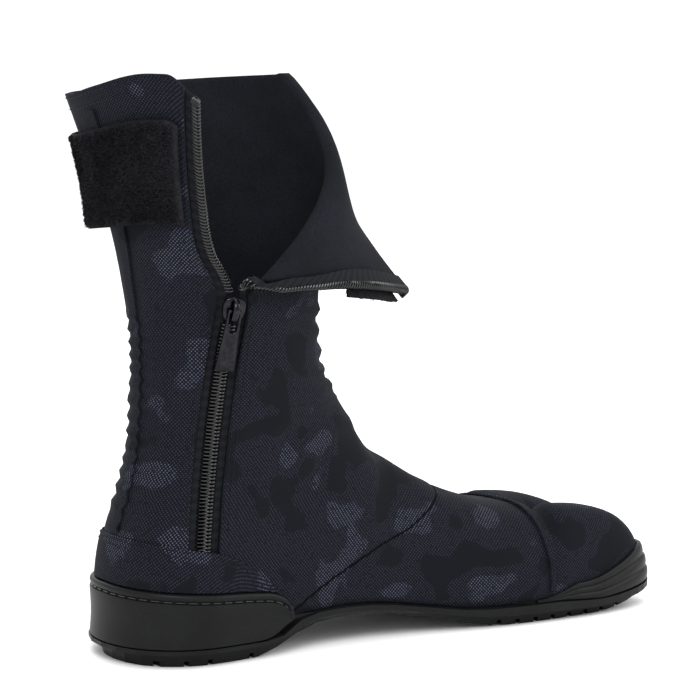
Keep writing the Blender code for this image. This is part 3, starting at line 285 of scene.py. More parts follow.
# Patches of the camouflage on the inner side: centre x and z, half length and half width in millimetres, turn
# in degrees, and strength, above 0 for brightly dotted cloth and below 0 for plain dark cloth.
PATCHES = (
    (36, 86, 9, 4, 80, 1.2),
    (52, 90, 9, 3.5, 10, 1.2),
    (47, 82, 6, 4, 60, -1.4),
    (34, 76, 8, 5, 30, -1),
    (20, 98, 12, 6, 10, -1.2),
    (-18, 140, 12, 7, -20, 0.9),
    (-10, 178, 14, 6, 20, 0.8),
    (2, 150, 10, 6, 10, -0.8),
    (-20, 84, 9, 4, 70, 0.8),
    (60, 130, 10, 11, 70, 1.0),
    (78, 84, 14, 4, -30, -0.9),
    (92, 62, 9, 5, 60, -1.1),
    (104, 80, 10, 6, -30, 0.8),
    (128, 50, 12, 5, 20, -1),
    (122, 30, 14, 5, 10, -1),
    (142, 44, 10, 6, -40, 0.7),
    (66, 40, 12, 6, 20, 0.8),
    (150, 30, 12, 4, 0, -0.8),
    (190, 40, 7, 6, 80, -1),
    (205, 26, 12, 5, 20, -1),
    (40, 132, 12, 7, -40, -1),
    (-8, 206, 12, 6, 20, 0.8),
    (66, 60, 14, 6, 10, 0.7),
    (20, 62, 8, 6, 40, -0.7),
)

# Puckers the seams draw up: their pitch in millimetres and their height in metres
FRONT_PUCKER, FRONT_PUCKER_HEIGHT = 8.6, 0.95 * MM
BACK_PUCKER, BACK_PUCKER_HEIGHT = 6.4, 0.75 * MM

# The join of the vamp's two pieces, on both sides of the foot, in millimetres
VAMP_SEAM = {"x": (38, 55, 70, 86, 102, 118, 128), "z": (19, 29, 36, 43, 48, 56, 62)}


# The boot's shape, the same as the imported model's


CURVES = {}


def curve(table, column):
    """The knots and slopes of one column of a table, worked out once."""
    key = id(table), column
    if key not in CURVES:
        xs, ys = np.array(table[next(iter(table))], float), np.array(table[column], float)
        step = np.diff(ys) / np.diff(xs)
        slope = np.concatenate([[step[0]], (step[1:] + step[:-1]) / 2, [step[-1]]])
        slope[np.concatenate([[False], step[1:] * step[:-1] <= 0, [False]])] = 0
        CURVES[key] = xs, ys, slope, xs.tolist(), ys.tolist(), slope.tolist()
    return CURVES[key]


def blend(table, column, at):
    """A smooth curve through one column of a table, by its first column, with no overshoot."""
    xs, ys, slope, *plain = curve(table, column)
    if np.ndim(at) == 0:
        xs, ys, slope = plain
        at = min(max(float(at), xs[0]), xs[-1])
        i = min(max(bisect.bisect_right(xs, at) - 1, 0), len(xs) - 2)
    else:
        at = np.clip(np.asarray(at, float), xs[0], xs[-1])
        i = np.clip(np.searchsorted(xs, at, side="right") - 1, 0, len(xs) - 2)
    width = xs[i + 1] - xs[i]
    t = (at - xs[i]) / width
    return (
        ys[i] * (1 + 2 * t) * (1 - t) ** 2
        + ys[i + 1] * t * t * (3 - 2 * t)
        + slope[i] * width * t * (1 - t) ** 2
        + slope[i + 1] * width * t * t * (t - 1)
    )


def ease(t):
    t = np.clip(t, 0, 1)
    return t * t * (3 - 2 * t)


def along(x):
    """Share of the sole's length at a place on the X axis."""
    return (x + HEEL_BACK) / SOLE_LENGTH


def place(share):
    """The reverse of along."""
    return share * SOLE_LENGTH - HEEL_BACK


JUNCTION = place(FOOT["along"][0])
TOE_TIP = place(1.0) - TOE_CLEARANCE
SPLIT_ROOT = TOE_TIP - SPLIT_LENGTH
TOES = {
    "inner": {
        "centre": BIG_TOE_CENTRE,
        "tip": TOE_TIP,
        "round": 3.2,
        "split_round": 4.5,
        "height": TOE_HEIGHT,
    },
    "outer": {
        "centre": SMALL_TOE_CENTRE,
        "tip": TOE_TIP - SMALL_TOE_SHORTER,
        "round": 2.25,
        "split_round": 4.6,
        "height": TOE_HEIGHT - SMALL_TOE_LOWER,
    },
}
SIGN = {"inner": -1.0, "outer": 1.0}


def feather(x):
    """Height at which the cloth meets the sole."""
    return blend(SOLE, "top", along(x)) * ARCH_TOP + GAP


def foot_side(side, x):
    """Y of the foot's edge on one side, back of the split."""
    return SIGN[side] * blend(FOOT, side, along(x)) * BALL_WIDTH


def toe_share(side, x):
    return np.clip((x - SPLIT_ROOT) / (TOES[side]["tip"] - SPLIT_ROOT), 0, 1)


def taper(t, power):
    return (1 - t**power) ** (1 / power)


def toe_walls(side, x):
    """Y of one toe stall's outer wall and of its wall in the split."""
    toe = TOES[side]
    t = toe_share(side, x)
    edge = foot_side(side, min(x, SPLIT_ROOT))
    gap = SPLIT_GAP / 2 * min(1.0, max(0.0, (x - SPLIT_ROOT) / (2 * SPLIT_GAP)))
    split = SPLIT_SIDE + SIGN[side] * gap
    outer = toe["centre"] + (edge - toe["centre"]) * taper(t, toe["round"])
    inner = toe["centre"] + (split - toe["centre"]) * taper(t, toe["split_round"])
    return outer, inner


def toe_height(side, x):
    """Height of a toe stall's top line."""
    t = toe_share(side, x)
    low = feather(x)
    return low + (TOES[side]["height"] - low) * (1 - TOE_DROP * t) * taper(t, TOE_NOSE)


def arch(angle, power):
    """A point of a squared arch: across from 1 to -1 and up from 0 to 1 and back."""
    c, s = math.cos(angle), max(0.0, math.sin(angle))
    return math.copysign(abs(c) ** (2 / power), c), s ** (2 / power)


def foot_point(side, step, x):
    """A point of the foot's skin: step 0 is at the sole and SECTION_STEPS at the middle."""
    turn = step / SECTION_STEPS
    power = float(blend(FOOT, "square", along(x)))
    ridge = float(blend(FOOT, "ridge", along(x))) * INSTEP_HEIGHT
    crest = float(blend(FOOT, "crest", along(x))) * BALL_WIDTH
    low = float(feather(x))
    across, up = arch(turn * math.pi / 2, power)
    edge = float(foot_side(side, x))
    half = np.array([x, crest + (edge - crest) * across, low + (ridge - low) * up])
    split = float(ease((x - SPLIT_ROOT + VALLEY_LENGTH) / VALLEY_LENGTH))
    if split <= 0:
        return half
    outer, inner = toe_walls(side, x)
    middle, reach = (outer + inner) / 2, (outer - inner) / 2
    across, up = arch(turn * math.pi, power)
    height = toe_height(side, x) - low
    whole = np.array([x, middle + reach * across, low + height * up])
    return half * (1 - split) + whole * split


def junction_point(side, height):
    """The foot's skin at the junction section, at a given height, and the level direction in it there."""
    low, ridge = float(feather(JUNCTION)), INSTEP_HEIGHT
    power = FOOT["square"][0]
    up = min(1.0, max(0.0, (height - low) / (ridge - low)))
    step = math.asin(up ** (power / 2)) * 2 / math.pi * SECTION_STEPS
    point = foot_point(side, step, JUNCTION)
    small = 0.02
    a, b = max(0.0, step - small), min(float(SECTION_STEPS), step + small)
    across = foot_point(side, b, JUNCTION) - foot_point(side, a, JUNCTION)
    forward = foot_point(side, step, JUNCTION + 0.002) - point
    normal = np.cross(across, forward)
    level = np.array([-normal[1], normal[0]])
    level *= math.copysign(1.0, level[0]) / np.linalg.norm(level)
    if up > 0.999:
        level = np.array([0.0, -SIGN[side]])
    return point[:2], level


def half_ring(side, height):
    """Half of a level ring, from the front or the junction to the middle of the back, as X and Y."""
    share = height / SHAFT_HEIGHT
    back, widest, front = (float(blend(SHAFT, k, share)) * ANKLE_LENGTH for k in ("back", "widest", "front"))
    half = SIGN[side] * float(blend(SHAFT, "half", share)) * ANKLE_WIDTH
    power = float(blend(SHAFT, "curve", share))
    turn = np.linspace(0, math.pi / 2, DENSE)
    rear = np.stack(
        [
            widest - (widest - back) * np.sin(turn) ** (2 / power),
            half * np.cos(turn) ** (2 / power),
        ],
        1,
    )
    crest = FOOT["crest"][0] * BALL_WIDTH
    if height >= INSTEP_HEIGHT:
        fade = ease((height - INSTEP_HEIGHT) / 0.030)
        crest *= 1 - fade
        sharp = 2.0 - 0.2 * (1 - fade)
        lead = np.stack(
            [
                widest + (front - widest) * np.cos(turn) ** (2 / sharp),
                crest + (half - crest) * np.sin(turn) ** (2 / sharp),
            ],
            1,
        )
    else:
        start, level = junction_point(side, height)
        pull = (start[0] - widest) * 1.05
        t = np.linspace(0, 1, DENSE)[:, None]
        end = np.array([widest, half])
        lead = (
            start * (1 + 2 * t) * (1 - t) ** 2
            + end * t * t * (3 - 2 * t)
            - level * pull * t * (1 - t) ** 2
            - np.array([pull, 0.0]) * t * t * (t - 1)
        )
    return np.concatenate([lead, rear[1:]])


def lengths(points):
    return np.concatenate([[0], np.cumsum(np.linalg.norm(np.diff(points, axis=0), axis=1))])


def on_line(points, run, at):
    return np.stack([np.interp(at, run, points[:, k]) for k in range(points.shape[1])], -1)


def zip_line(height):
    return float(blend(ZIP_LINE, "x", height / SHAFT_HEIGHT)) * ANKLE_LENGTH


ROWS = {}


def ring(height):
    """A whole level ring as a path from the front, back along the inner side, to the front again,
    with the arc length of the zip slot's two edges and of the back."""
    key = round(float(height), 7)
    if key not in ROWS:
        inner, outer = half_ring("inner", height), half_ring("outer", height)[::-1]
        points = np.concatenate([inner, outer[1:]])
        run = lengths(points)
        back = run[len(inner) - 1]
        side = slice(DENSE // 2, len(inner))
        middle = np.interp(-zip_line(height), -points[side, 0], run[side])
        ROWS[key] = (points, run, middle - ZIP_SLOT / 2, middle + ZIP_SLOT / 2, back)
    return ROWS[key]


def level_at(x, ring_height):
    """The real height of a ring at X: the lowest rings follow the sole's top."""
    low, ridge = float(feather(JUNCTION)), INSTEP_HEIGHT
    if ring_height >= ridge:
        return np.full(np.shape(x), ring_height)
    here = feather(np.minimum(x, JUNCTION))
    return here + (ring_height - low) * (ridge - here) / (ridge - low)


def columns(first, slot_front, slot_back, back, last):
    """Arc lengths of the mesh's columns round a ring."""
    return np.concatenate(
        [
            np.linspace(first, slot_front, FRONT_STEPS + 1)[:-1],
            np.linspace(slot_front, slot_back, 2)[:-1],
            np.linspace(slot_back, back, BACK_STEPS + 1)[:-1],
            np.linspace(back, last, OUTER_STEPS + 1),
        ]
    )


def slider_front():
    """The cloth's edge in front of the slider."""
    points, run, slot_front, _, _ = ring(ZIP_SLIDER)
    flat = on_line(points, run, slot_front)
    return np.array([flat[0], flat[1], ZIP_SLIDER])


def flap_edge(rise):
    """The flap's zip edge, from the slider at rise 0 to the collar corner at rise 1."""
    edge = (float(blend(FLAP_EDGE, k, rise)) * OPEN_ZIP for k in ("forward", "outward", "upward"))
    forward, outward, upward = edge
    return slider_front() + np.array([forward, -outward, upward])


def front_share():
    """Share of the way round a row, from the zip's rear edge past the back, at the middle of the front."""
    _, run, slot_front, slot_back, _ = ring(ZIP_SLIDER)
    return (run[-1] - slot_back) / (run[-1] - slot_back + slot_front)


def open_row(rise):
    """A dense row above the slider, from the zip's rear edge round the back to the fold, and along the flap.
    Returns the points, their arc length, and the arc length of the back and of the fold."""
    key = ("open", round(float(rise), 6))
    if key in ROWS:
        return ROWS[key]
    points, run, _, slot_back, back = ring(ZIP_SLIDER + rise * (SHAFT_HEIGHT - ZIP_SLIDER))
    slot_front = ring(ZIP_SLIDER)[2]
    turn = np.linspace(slot_back, run[-1] + slot_front, 3 * DENSE)
    flat = on_line(points, run, np.where(turn > run[-1], turn - run[-1], turn))
    share = (turn - turn[0]) / (turn[-1] - turn[0])
    collar = blend(COLLAR, "up", share) * SHAFT_HEIGHT
    skin = np.column_stack([flat, ZIP_SLIDER + rise * (collar - ZIP_SLIDER)])
    fold = 1 - (1 - front_share()) * float(blend(FOLD, "round", rise))
    fold = turn[0] + fold * (turn[-1] - turn[0])
    kept = np.concatenate([skin[turn < fold - 1e-7], [on_line(skin, turn, fold)]])
    start, end = kept[-1], flap_edge(rise)
    heading = kept[-1] - kept[-4]
    heading /= np.linalg.norm(heading)
    outward = np.array([-heading[1], heading[0], 0.0])
    span = np.linalg.norm(end - start)
    roll = min(FOLD_ROLL, 0.25 * span)
    hang = (end - start) * np.array([0.14, 0.14, 0.52])
    first = start + heading * roll * 1.1 + outward * roll * 0.6
    second = start + hang + outward * roll * 1.5
    t = np.linspace(0, 1, DENSE)[1:, None]
    flap = start * (1 - t) ** 3 + 3 * first * t * (1 - t) ** 2 + 3 * second * t * t * (1 - t) + end * t**3
    whole = np.concatenate([kept, flap])
    length = lengths(whole)
    ROWS[key] = (whole, length, back - slot_back, length[len(kept) - 1])
    return ROWS[key]


def heel_skin(share, height):
    """The skin round the heel at a real height: share runs from -1 at the junction on the inner side,
    through 0 at the back, to 1 on the outer side. Below the cloth it goes straight down."""
    low, ridge = float(feather(JUNCTION)), INSTEP_HEIGHT
    level = max(height, low)
    for _ in range(2):
        points, run, _, _, back = ring(level)
        at = back + share * (back if share < 0 else run[-1] - back)
        x, y = on_line(points, run, at)
        here = float(feather(x))
        level = low + max(0.0, height - here) * (ridge - low) / (ridge - here)
    points, run, _, _, back = ring(level)
    x, y = on_line(points, run, back + share * (back if share < 0 else run[-1] - back))
    return np.array([x, y, height])


def foot_skin(share, x):
    """The skin across the foot at X: share runs from -1 at the inner edge over the top to 1 at the outer."""
    return foot_point("inner" if share < 0 else "outer", (1 - abs(share)) * SECTION_STEPS, x)


def toe_skin(side, share, height):
    """The skin round one toe stall at a height: share runs from 0 at the split's root on the foot's side,
    through 0.5 at the tip, to 1 at the root inside the split. A negative share is behind the root."""
    tip = TOES[side]["tip"]
    xs = SPLIT_ROOT + (tip - SPLIT_ROOT) * (1 - np.linspace(1, 0, DENSE) ** 3)
    rise = np.maximum(height - feather(xs), 0)
    room = np.maximum(toe_height(side, xs) - feather(xs), 0)
    nose = float(np.interp(0, rise - room, xs))
    turn = min(share, 1 - share) * math.pi
    if turn < 0:
        x = SPLIT_ROOT + turn / math.pi * 2 * (nose - SPLIT_ROOT)
    else:
        x = SPLIT_ROOT + (nose - SPLIT_ROOT) * math.sin(turn) ** (2 / 3)
    low, high = float(feather(x)), float(toe_height(side, max(x, SPLIT_ROOT)))
    up = min(1.0, max(0.0, (height - low) / max(high - low, 1e-9)))
    power = float(blend(FOOT, "square", along(x)))
    across = (1 - up**power) ** (1 / power)
    if x < SPLIT_ROOT:
        key = side, round(x, 6)
        if key not in ROWS:
            ROWS[key] = np.array([foot_point(side, s, x) for s in np.linspace(0, SECTION_STEPS * 0.7, 40)])
        section = ROWS[key]
        return np.array([x, np.interp(height, section[:, 2], section[:, 1]), height])
    outer, inner = toe_walls(side, x)
    middle, reach = (outer + inner) / 2, (outer - inner) / 2
    return np.array([x, middle + (reach if share < 0.5 else -reach) * across, height])


def zip_skin(row, reach, level):
    """The skin beside the zip. row is rear or front, reach the distance from the cloth's edge into the cloth,
    level the height up to the slider and past it the slider's height plus the share of the open part times its
    height. A negative reach is beyond the edge."""
    if level <= ZIP_SLIDER:
        points, run, slot_front, slot_back, _ = ring(level)
        x, y = on_line(points, run, slot_back + reach if row == "rear" else slot_front - reach)
        return np.array([x, y, float(level_at(x, level))])
    whole, length, _, _ = open_row((level - ZIP_SLIDER) / (SHAFT_HEIGHT - ZIP_SLIDER))
    at = reach if row == "rear" else length[-1] - reach
    if 0 <= at <= length[-1]:
        return on_line(whole, length, at)
    a, b = (0, 3) if at < 0 else (-1, -4)
    heading = whole[a] - whole[b]
    heading /= np.linalg.norm(heading)
    return whole[a] + heading * (-at if at < 0 else at - length[-1])


def raised(skin, facing, small=(0.01, 0.0005)):
    """A function that gives the place off the skin by a height, along the skin's outward direction."""

    known = {}

    def spot(share, level, height):
        key = round(share, 7), round(level, 7)
        if key not in known:
            a, b = skin(share - small[0], level), skin(share + small[0], level)
            c, d = skin(share, level - small[1]), skin(share, level + small[1])
            normal = np.cross(b - a, d - c) * facing
            known[key] = skin(share, level), normal / np.linalg.norm(normal)
        return known[key][0] + known[key][1] * height

    return spot


# Colours and materials


def linear(code):
    """A linear colour from an sRGB hex value."""
    values = [int(code[i : i + 2], 16) / 255 for i in (1, 3, 5)]
    return tuple(v / 12.92 if v <= 0.04045 else ((v + 0.055) / 1.055) ** 2.4 for v in values) + (1.0,)


def node(tree, kind, settings=None, values=None, links=None):
    """Adds a shader node. settings are its properties, values its inputs and links what feeds its inputs."""
    made = tree.nodes.new(kind)
    for key, value in (settings or {}).items():
        setattr(made, key, value)
    for key, value in (values or {}).items():
        made.inputs[key].default_value = value
    for key, source in (links or {}).items():
        tree.links.new(source, made.inputs[key])
    return made


def new_material(name, roughness, metallic=0.0, **inputs):
    """A material with its node tree and its shader. inputs are the shader's, with _ for a space."""
    made = bpy.data.materials.new(name)
    made.use_nodes = True
    shader = made.node_tree.nodes["Principled BSDF"]
    shader.inputs["Roughness"].default_value = roughness
    shader.inputs["Metallic"].default_value = metallic
    for key, value in inputs.items():
        shader.inputs[key.replace("_", " ")].default_value = value
    return made, made.node_tree, shader


def ramp(tree, source, low, high):
    """A soft step from 0 at low to 1 at high."""
    settings = {"interpolation_type": "SMOOTHSTEP"}
    values = {"From Min": low, "From Max": high}
    return node(tree, "ShaderNodeMapRange", settings, values, {"Value": source}).outputs["Result"]


def mixed(tree, factor, one, two):
    """Colour one where factor is 0 and two where it is 1. Each is a hex value or a socket."""
    made = node(tree, "ShaderNodeMix", {"data_type": "RGBA"}, links={"Factor": factor})
    for socket, value in (("A", one), ("B", two)):
        slot = next(s for s in made.inputs if s.name == socket and s.type == "RGBA")
        if isinstance(value, str):
            slot.default_value = linear(value)
        else:
            tree.links.new(value, slot)
    return next(s for s in made.outputs if s.type == "RGBA")


def relief(tree, shader, height, source, strength=0.5):
    """Raises the surface by a source from 0 to 1. height is in metres."""
    values = {"Strength": strength, "Distance": height}
    made = node(tree, "ShaderNodeBump", values=values, links={"Height": source})
    tree.links.new(made.outputs["Normal"], shader.inputs["Normal"])


def sums(tree, operation, first, second=None, **values):
    """A maths node on one or two sources. values name its other inputs as b and c."""
    links = {0: first} if second is None else {0: first, 1: second}
    numbers = {"bc".index(key) + 1: value for key, value in values.items()}
    return node(tree, "ShaderNodeMath", {"operation": operation}, numbers, links).outputs["Value"]


def cross_ribs(tree, period, distortion, detail=2.0):
    """Ribs across the map's length, one to each period in metres. A wave texture turns 20 times its scale."""
    values = {"Scale": math.tau / 20 / period, "Distortion": distortion, "Detail": detail}
    place_on = node(tree, "ShaderNodeTexCoord").outputs["UV"]
    made = node(tree, "ShaderNodeTexWave", {"bands_direction": "Y"}, values, {"Vector": place_on})
    return made.outputs["Fac"]


def lattice(tree, pitch, turn):
    """Dots on a square lattice of the cloth's map, 1 at a dot's middle and -1 between. pitch is in metres."""
    place = node(tree, "ShaderNodeTexCoord").outputs["UV"]
    turned = node(
        tree,
        "ShaderNodeMapping",
        {"vector_type": "TEXTURE"},
        {"Rotation": (0, 0, math.radians(turn)), "Scale": (pitch / math.tau,) * 3},
        {"Vector": place},
    )
    waves = node(tree, "ShaderNodeVectorMath", {"operation": "COSINE"}, links={0: turned.outputs["Vector"]})
    half = node(
        tree,
        "ShaderNodeVectorMath",
        {"operation": "DOT_PRODUCT"},
        {1: (0.5, 0.5, 0.0)},
        {0: waves.outputs["Vector"]},
    )
    return half.outputs["Value"]


def dotted_duck(looks):
    """Cotton duck with a woven mesh face: a near-black navy ground, and a lattice of paler knots that shows
    strongly, faintly or not at all, patch by patch. The knots stand up, so they catch the light."""
    made, tree, shader = new_material("cotton_duck_woven_with_dots", 0.88, Specular_IOR_Level=0.08)
    shader.inputs["Sheen Weight"].default_value = 0.012
    shader.inputs["Sheen Roughness"].default_value = 0.5
    dots = lattice(tree, looks.dot_pitch, 45)
    knot = ramp(tree, dots, 0.05, 0.75)
    patch = node(tree, "ShaderNodeAttribute", {"attribute_name": "patch"}).outputs["Fac"]
    coarse = node(tree, "ShaderNodeTexCoord").outputs["Object"]
    fray = node(tree, "ShaderNodeTexNoise", values={"Scale": 170.0, "Detail": 3.0}, links={"Vector": coarse})
    shake = sums(tree, "MULTIPLY_ADD", fray.outputs["Fac"], b=0.56, c=-0.28)
    edge = sums(tree, "ADD", patch, shake)
    faint = ramp(tree, edge, -0.42, -0.30)
    strong = ramp(tree, edge, 0.42, 0.56)
    ground = mixed(tree, faint, looks_hex(looks.plain_cloth), looks_hex(looks.navy_cloth))
    pale = mixed(tree, strong, looks_hex(looks.faint_dot), looks_hex(looks.bright_dot))
    show = sums(tree, "MULTIPLY", knot, faint)
    worn = node(tree, "ShaderNodeTexNoise", values={"Scale": 900.0, "Detail": 1.0}, links={"Vector": coarse})
    seen = sums(tree, "MULTIPLY", show, ramp(tree, worn.outputs["Fac"], 0.15, 0.60))
    tree.links.new(mixed(tree, seen, ground, pale), shader.inputs["Base Color"])
    ribs = cross_ribs(tree, CLOTH_RIB, 0.4, 1.0)
    lift = node(tree, "ShaderNodeMath", {"operation": "MULTIPLY_ADD"}, {1: 0.35}, {0: ribs, 2: seen})
    relief(tree, shader, 0.18 * MM, lift.outputs["Value"])
    return made


def grained(name, colour, tint, roughness, grain, height, metallic=0.0, **inputs):
    """A finish of two close colours in a fine grain, with that grain as its relief. grain is in metres."""
    made, tree, shader = new_material(name, roughness, metallic, **inputs)
    place = node(tree, "ShaderNodeTexCoord").outputs["Object"]
    fine = node(tree, "ShaderNodeTexNoise", values={"Scale": 1 / grain, "Detail": 3.0}, links={"Vector": place})
    broad = node(tree, "ShaderNodeTexNoise", values={"Scale": 45.0, "Detail": 3.0}, links={"Vector": place})
    both = sums(tree, "MULTIPLY", fine.outputs["Fac"], broad.outputs["Fac"])
    share = ramp(tree, both, 0.12, 0.42)
    tree.links.new(mixed(tree, share, colour, tint), shader.inputs["Base Color"])
    rough = node(
        tree,
        "ShaderNodeMapRange",
        values={"To Min": max(0.05, roughness - 0.08), "To Max": min(1.0, roughness + 0.08)},
        links={"Value": broad.outputs["Fac"]},
    )
    tree.links.new(rough.outputs["Result"], shader.inputs["Roughness"])
    relief(tree, shader, height, fine.outputs["Fac"], 0.6)
    return made


def ribbed_tape(looks):
    """Woven polyester tape: dark and matt, with shallow cross ribs along its length."""
    made, tree, shader = new_material("polyester_tape_woven", 0.75, Specular_IOR_Level=0.08)
    ribs = cross_ribs(tree, TAPE_RIB, 0.3)
    tree.links.new(mixed(tree, ribs, "#121316", looks_hex(looks.tape)), shader.inputs["Base Color"])
    relief(tree, shader, 0.15 * MM, ribs)
    return made


def looks_hex(colour):
    """A user's sRGB colour as a hex value."""
    return "#" + "".join(f"{round(c * 255):02x}" for c in colour[:3])


def srgb(code):
    """The three sRGB shares of a hex value."""
    return tuple(int(code[i : i + 2], 16) / 255 for i in (1, 3, 5))


FINISHES = {}


def finishes():
    """All materials of the boot, made once."""
    if FINISHES:
        return FINISHES
    looks = bpy.context.scene.tabi_looks
    rubber = looks_hex(looks.rubber)
    FINISHES["duck"] = dotted_duck(looks)
    FINISHES["tape"] = ribbed_tape(looks)
    rows = (
        # Brushed cotton sateen: an even charcoal with a soft, matt nap
        ("lining", "cotton_lining_brushed", looks_hex(looks.lining), "#1b1c22", 0.92, 0.9, 0.12, 0.07),
        # Moulded natural rubber: satin black, slightly cloudy, with a fine mould grain
        ("rubber", "natural_rubber_moulded", rubber, "#121314", 0.42, 0.6, 0.04, 0.13),
        # Extruded nylon filament: smooth and glossy, so each turn has a sharp glint
        ("nylon", "nylon_filament_extruded", "#070708", "#0e0e10", 0.22, 1.0, 0.01, 0.5),
        # Nylon loop pile: a deep matt black that swallows light between its loops
        ("pile", "nylon_loop_pile", "#050506", "#202024", 0.9, 0.8, 0.3, 0.12),
        # Spun polyester thread: dark navy and a little lustrous
        ("thread", "polyester_thread_spun", "#0d0e13", "#191b23", 0.6, 0.5, 0.03, 0.15),
        # Black tube laid in the vamp seam's groove, darker and duller than the sewing thread: painted shade of
        # the groove
        ("seam_shade", "painted_seam_groove_shade", "#030304", "#08080a", 0.8, 0.5, 0.03, 0.05),
        # Cloth-faced foam board: matt, with a fine even grain
        ("foam", "foam_board_cloth_faced", "#1c1d21", "#26282c", 0.9, 0.8, 0.1, 0.1),
    )
    for key, name, colour, tint, roughness, grain, height, shine in rows:
        FINISHES[key] = grained(
            name, colour, tint, roughness, grain * MM, height * MM, Specular_IOR_Level=shine
        )
    # Black nickel on die-cast zinc: a dark, smooth metal coat that takes the room's light evenly
    FINISHES["nickel"] = grained(
        "zinc_die_cast_black_nickel", "#1f1f22", "#2c2c30", 0.20, 2.0 * MM, 0.01 * MM, metallic=1.0
    )
    return FINISHES


# Pieces


def piece(name, points, faces, finish, body=BODY, uvs=None, smooth=True):
    """A mesh object that rides on a body. uvs are one pair for each point."""
    mesh = bpy.data.meshes.new(name)
    mesh.from_pydata([tuple(map(float, p)) for p in points], [], [tuple(map(int, f)) for f in faces])
    if uvs is not None:
        layer = mesh.uv_layers.new(name="UVMap")
        corner = np.zeros(len(mesh.loops), int)
        mesh.loops.foreach_get("vertex_index", corner)
        layer.data.foreach_set("uv", np.asarray(uvs, float)[corner].ravel())
    work = bmesh.new()
    work.from_mesh(mesh)
    bmesh.ops.remove_doubles(work, verts=work.verts, dist=1e-6)
    bmesh.ops.recalc_face_normals(work, faces=work.faces)
    work.to_mesh(mesh)
    work.free()
    if smooth:
        mesh.shade_smooth()
        mesh.set_sharp_from_angle(angle=math.radians(50))
    made = bpy.data.objects.new(name, mesh)
    bpy.context.scene.collection.objects.link(made)
    made.data.materials.append(finish)
    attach(made, body)
    return made


def loft(name, stations, section, finish, body=BODY, smooth=True):
    """A solid through closed sections with flat ends, and a map in metres round and along it."""
    rings = [np.array(section(s)) for s in stations]
    width = len(rings[0])
    points = np.concatenate(rings)
    run = lengths(np.array([r[0] for r in rings]))
    uvs = np.array([(u, v) for ring_at, v in zip(rings, run) for u in lengths(ring_at)])
    faces = [
        (r * width + c, r * width + (c + 1) % width, (r + 1) * width + (c + 1) % width, (r + 1) * width + c)
        for r in range(len(rings) - 1)
        for c in range(width)
    ]
    last = (len(rings) - 1) * width
    faces += [tuple(range(width)), tuple(range(last + width - 1, last - 1, -1))]
    return piece(name, points, faces, finish, body, uvs, smooth)


def tubes(paths, radius, sides=6):
    """Points and faces of closed tubes along several lines. radius is a number, or one for each point."""
    points, faces = [], []
    turn = np.linspace(0, math.tau, sides + 1)[:-1]
    for path in paths:
        path = np.asarray(path, float)
        ahead = np.gradient(path, axis=0)
        ahead /= np.linalg.norm(ahead, axis=1)[:, None] + 1e-12
        side = np.cross(ahead, [0.31, 0.52, 0.80])
        side /= np.linalg.norm(side, axis=1)[:, None]
        lift = np.cross(ahead, side)
        size = np.broadcast_to(radius, len(path))
        base = len(points)
        for p, s, u, r in zip(path, side, lift, size):
            points += [p + r * (math.cos(t) * s + math.sin(t) * u) for t in turn]
        for i in range(len(path) - 1):
            one, two = base + i * sides, base + (i + 1) * sides
            faces += [(one + c, one + (c + 1) % sides, two + (c + 1) % sides, two + c) for c in range(sides)]
        end = base + (len(path) - 1) * sides
        faces += [tuple(range(base, base + sides)), tuple(range(end + sides - 1, end - 1, -1))]
    return points, faces


SKIN = {}


def on_cloth(points, lift):
    """The nearest places on the finished cloth's outer face, raised by lift."""
    spots = []
    for p in points:
        place_at, normal, _, _ = SKIN["tree"].find_nearest(Vector(p))
        spots.append(np.array(place_at + normal * lift))
    return np.array(spots)


# Stitches: their pitch, their length, and where the five points of one lie along it
STITCH_PITCH = 2.9 * MM
STITCH_LENGTH = 2.1 * MM
STITCH_STEPS = np.array([0, 0.2, 0.5, 0.8, 1.0])
STITCH_THICKNESS = 0.42 * MM


def stitch_paths(line):
    """Short stitches along a line on the cloth, each a low arch that dives in at its ends."""
    run = lengths(line)
    paths = []
    for start in np.arange(STITCH_PITCH / 2, run[-1] - STITCH_LENGTH, STITCH_PITCH):
        core = on_line(line, run, start + STITCH_LENGTH * STITCH_STEPS)
        low = on_cloth(core, 0)
        high = on_cloth(core, 1)
        out = high - low
        arch_of = STITCH_THICKNESS * 0.6 * np.array([-0.8, 0.5, 0.8, 0.5, -0.8])
        paths.append(low + out * arch_of[:, None])
    return paths


def sewn(name, lines):
    """One piece with all the stitches of several lines."""
    paths = [p for line in lines for p in stitch_paths(line)]
    size = STITCH_THICKNESS / 2 * np.array([0.7, 1, 1, 1, 0.7])
    points, faces = tubes(paths, size, 5)
    return piece(name, points, faces, finishes()["thread"])


def back_waves(z):
    """The uneven ripple of the back seam at a height in millimetres."""
    return np.sin(z * math.tau / BACK_PUCKER + 0.9 * np.sin(z / 7.0))


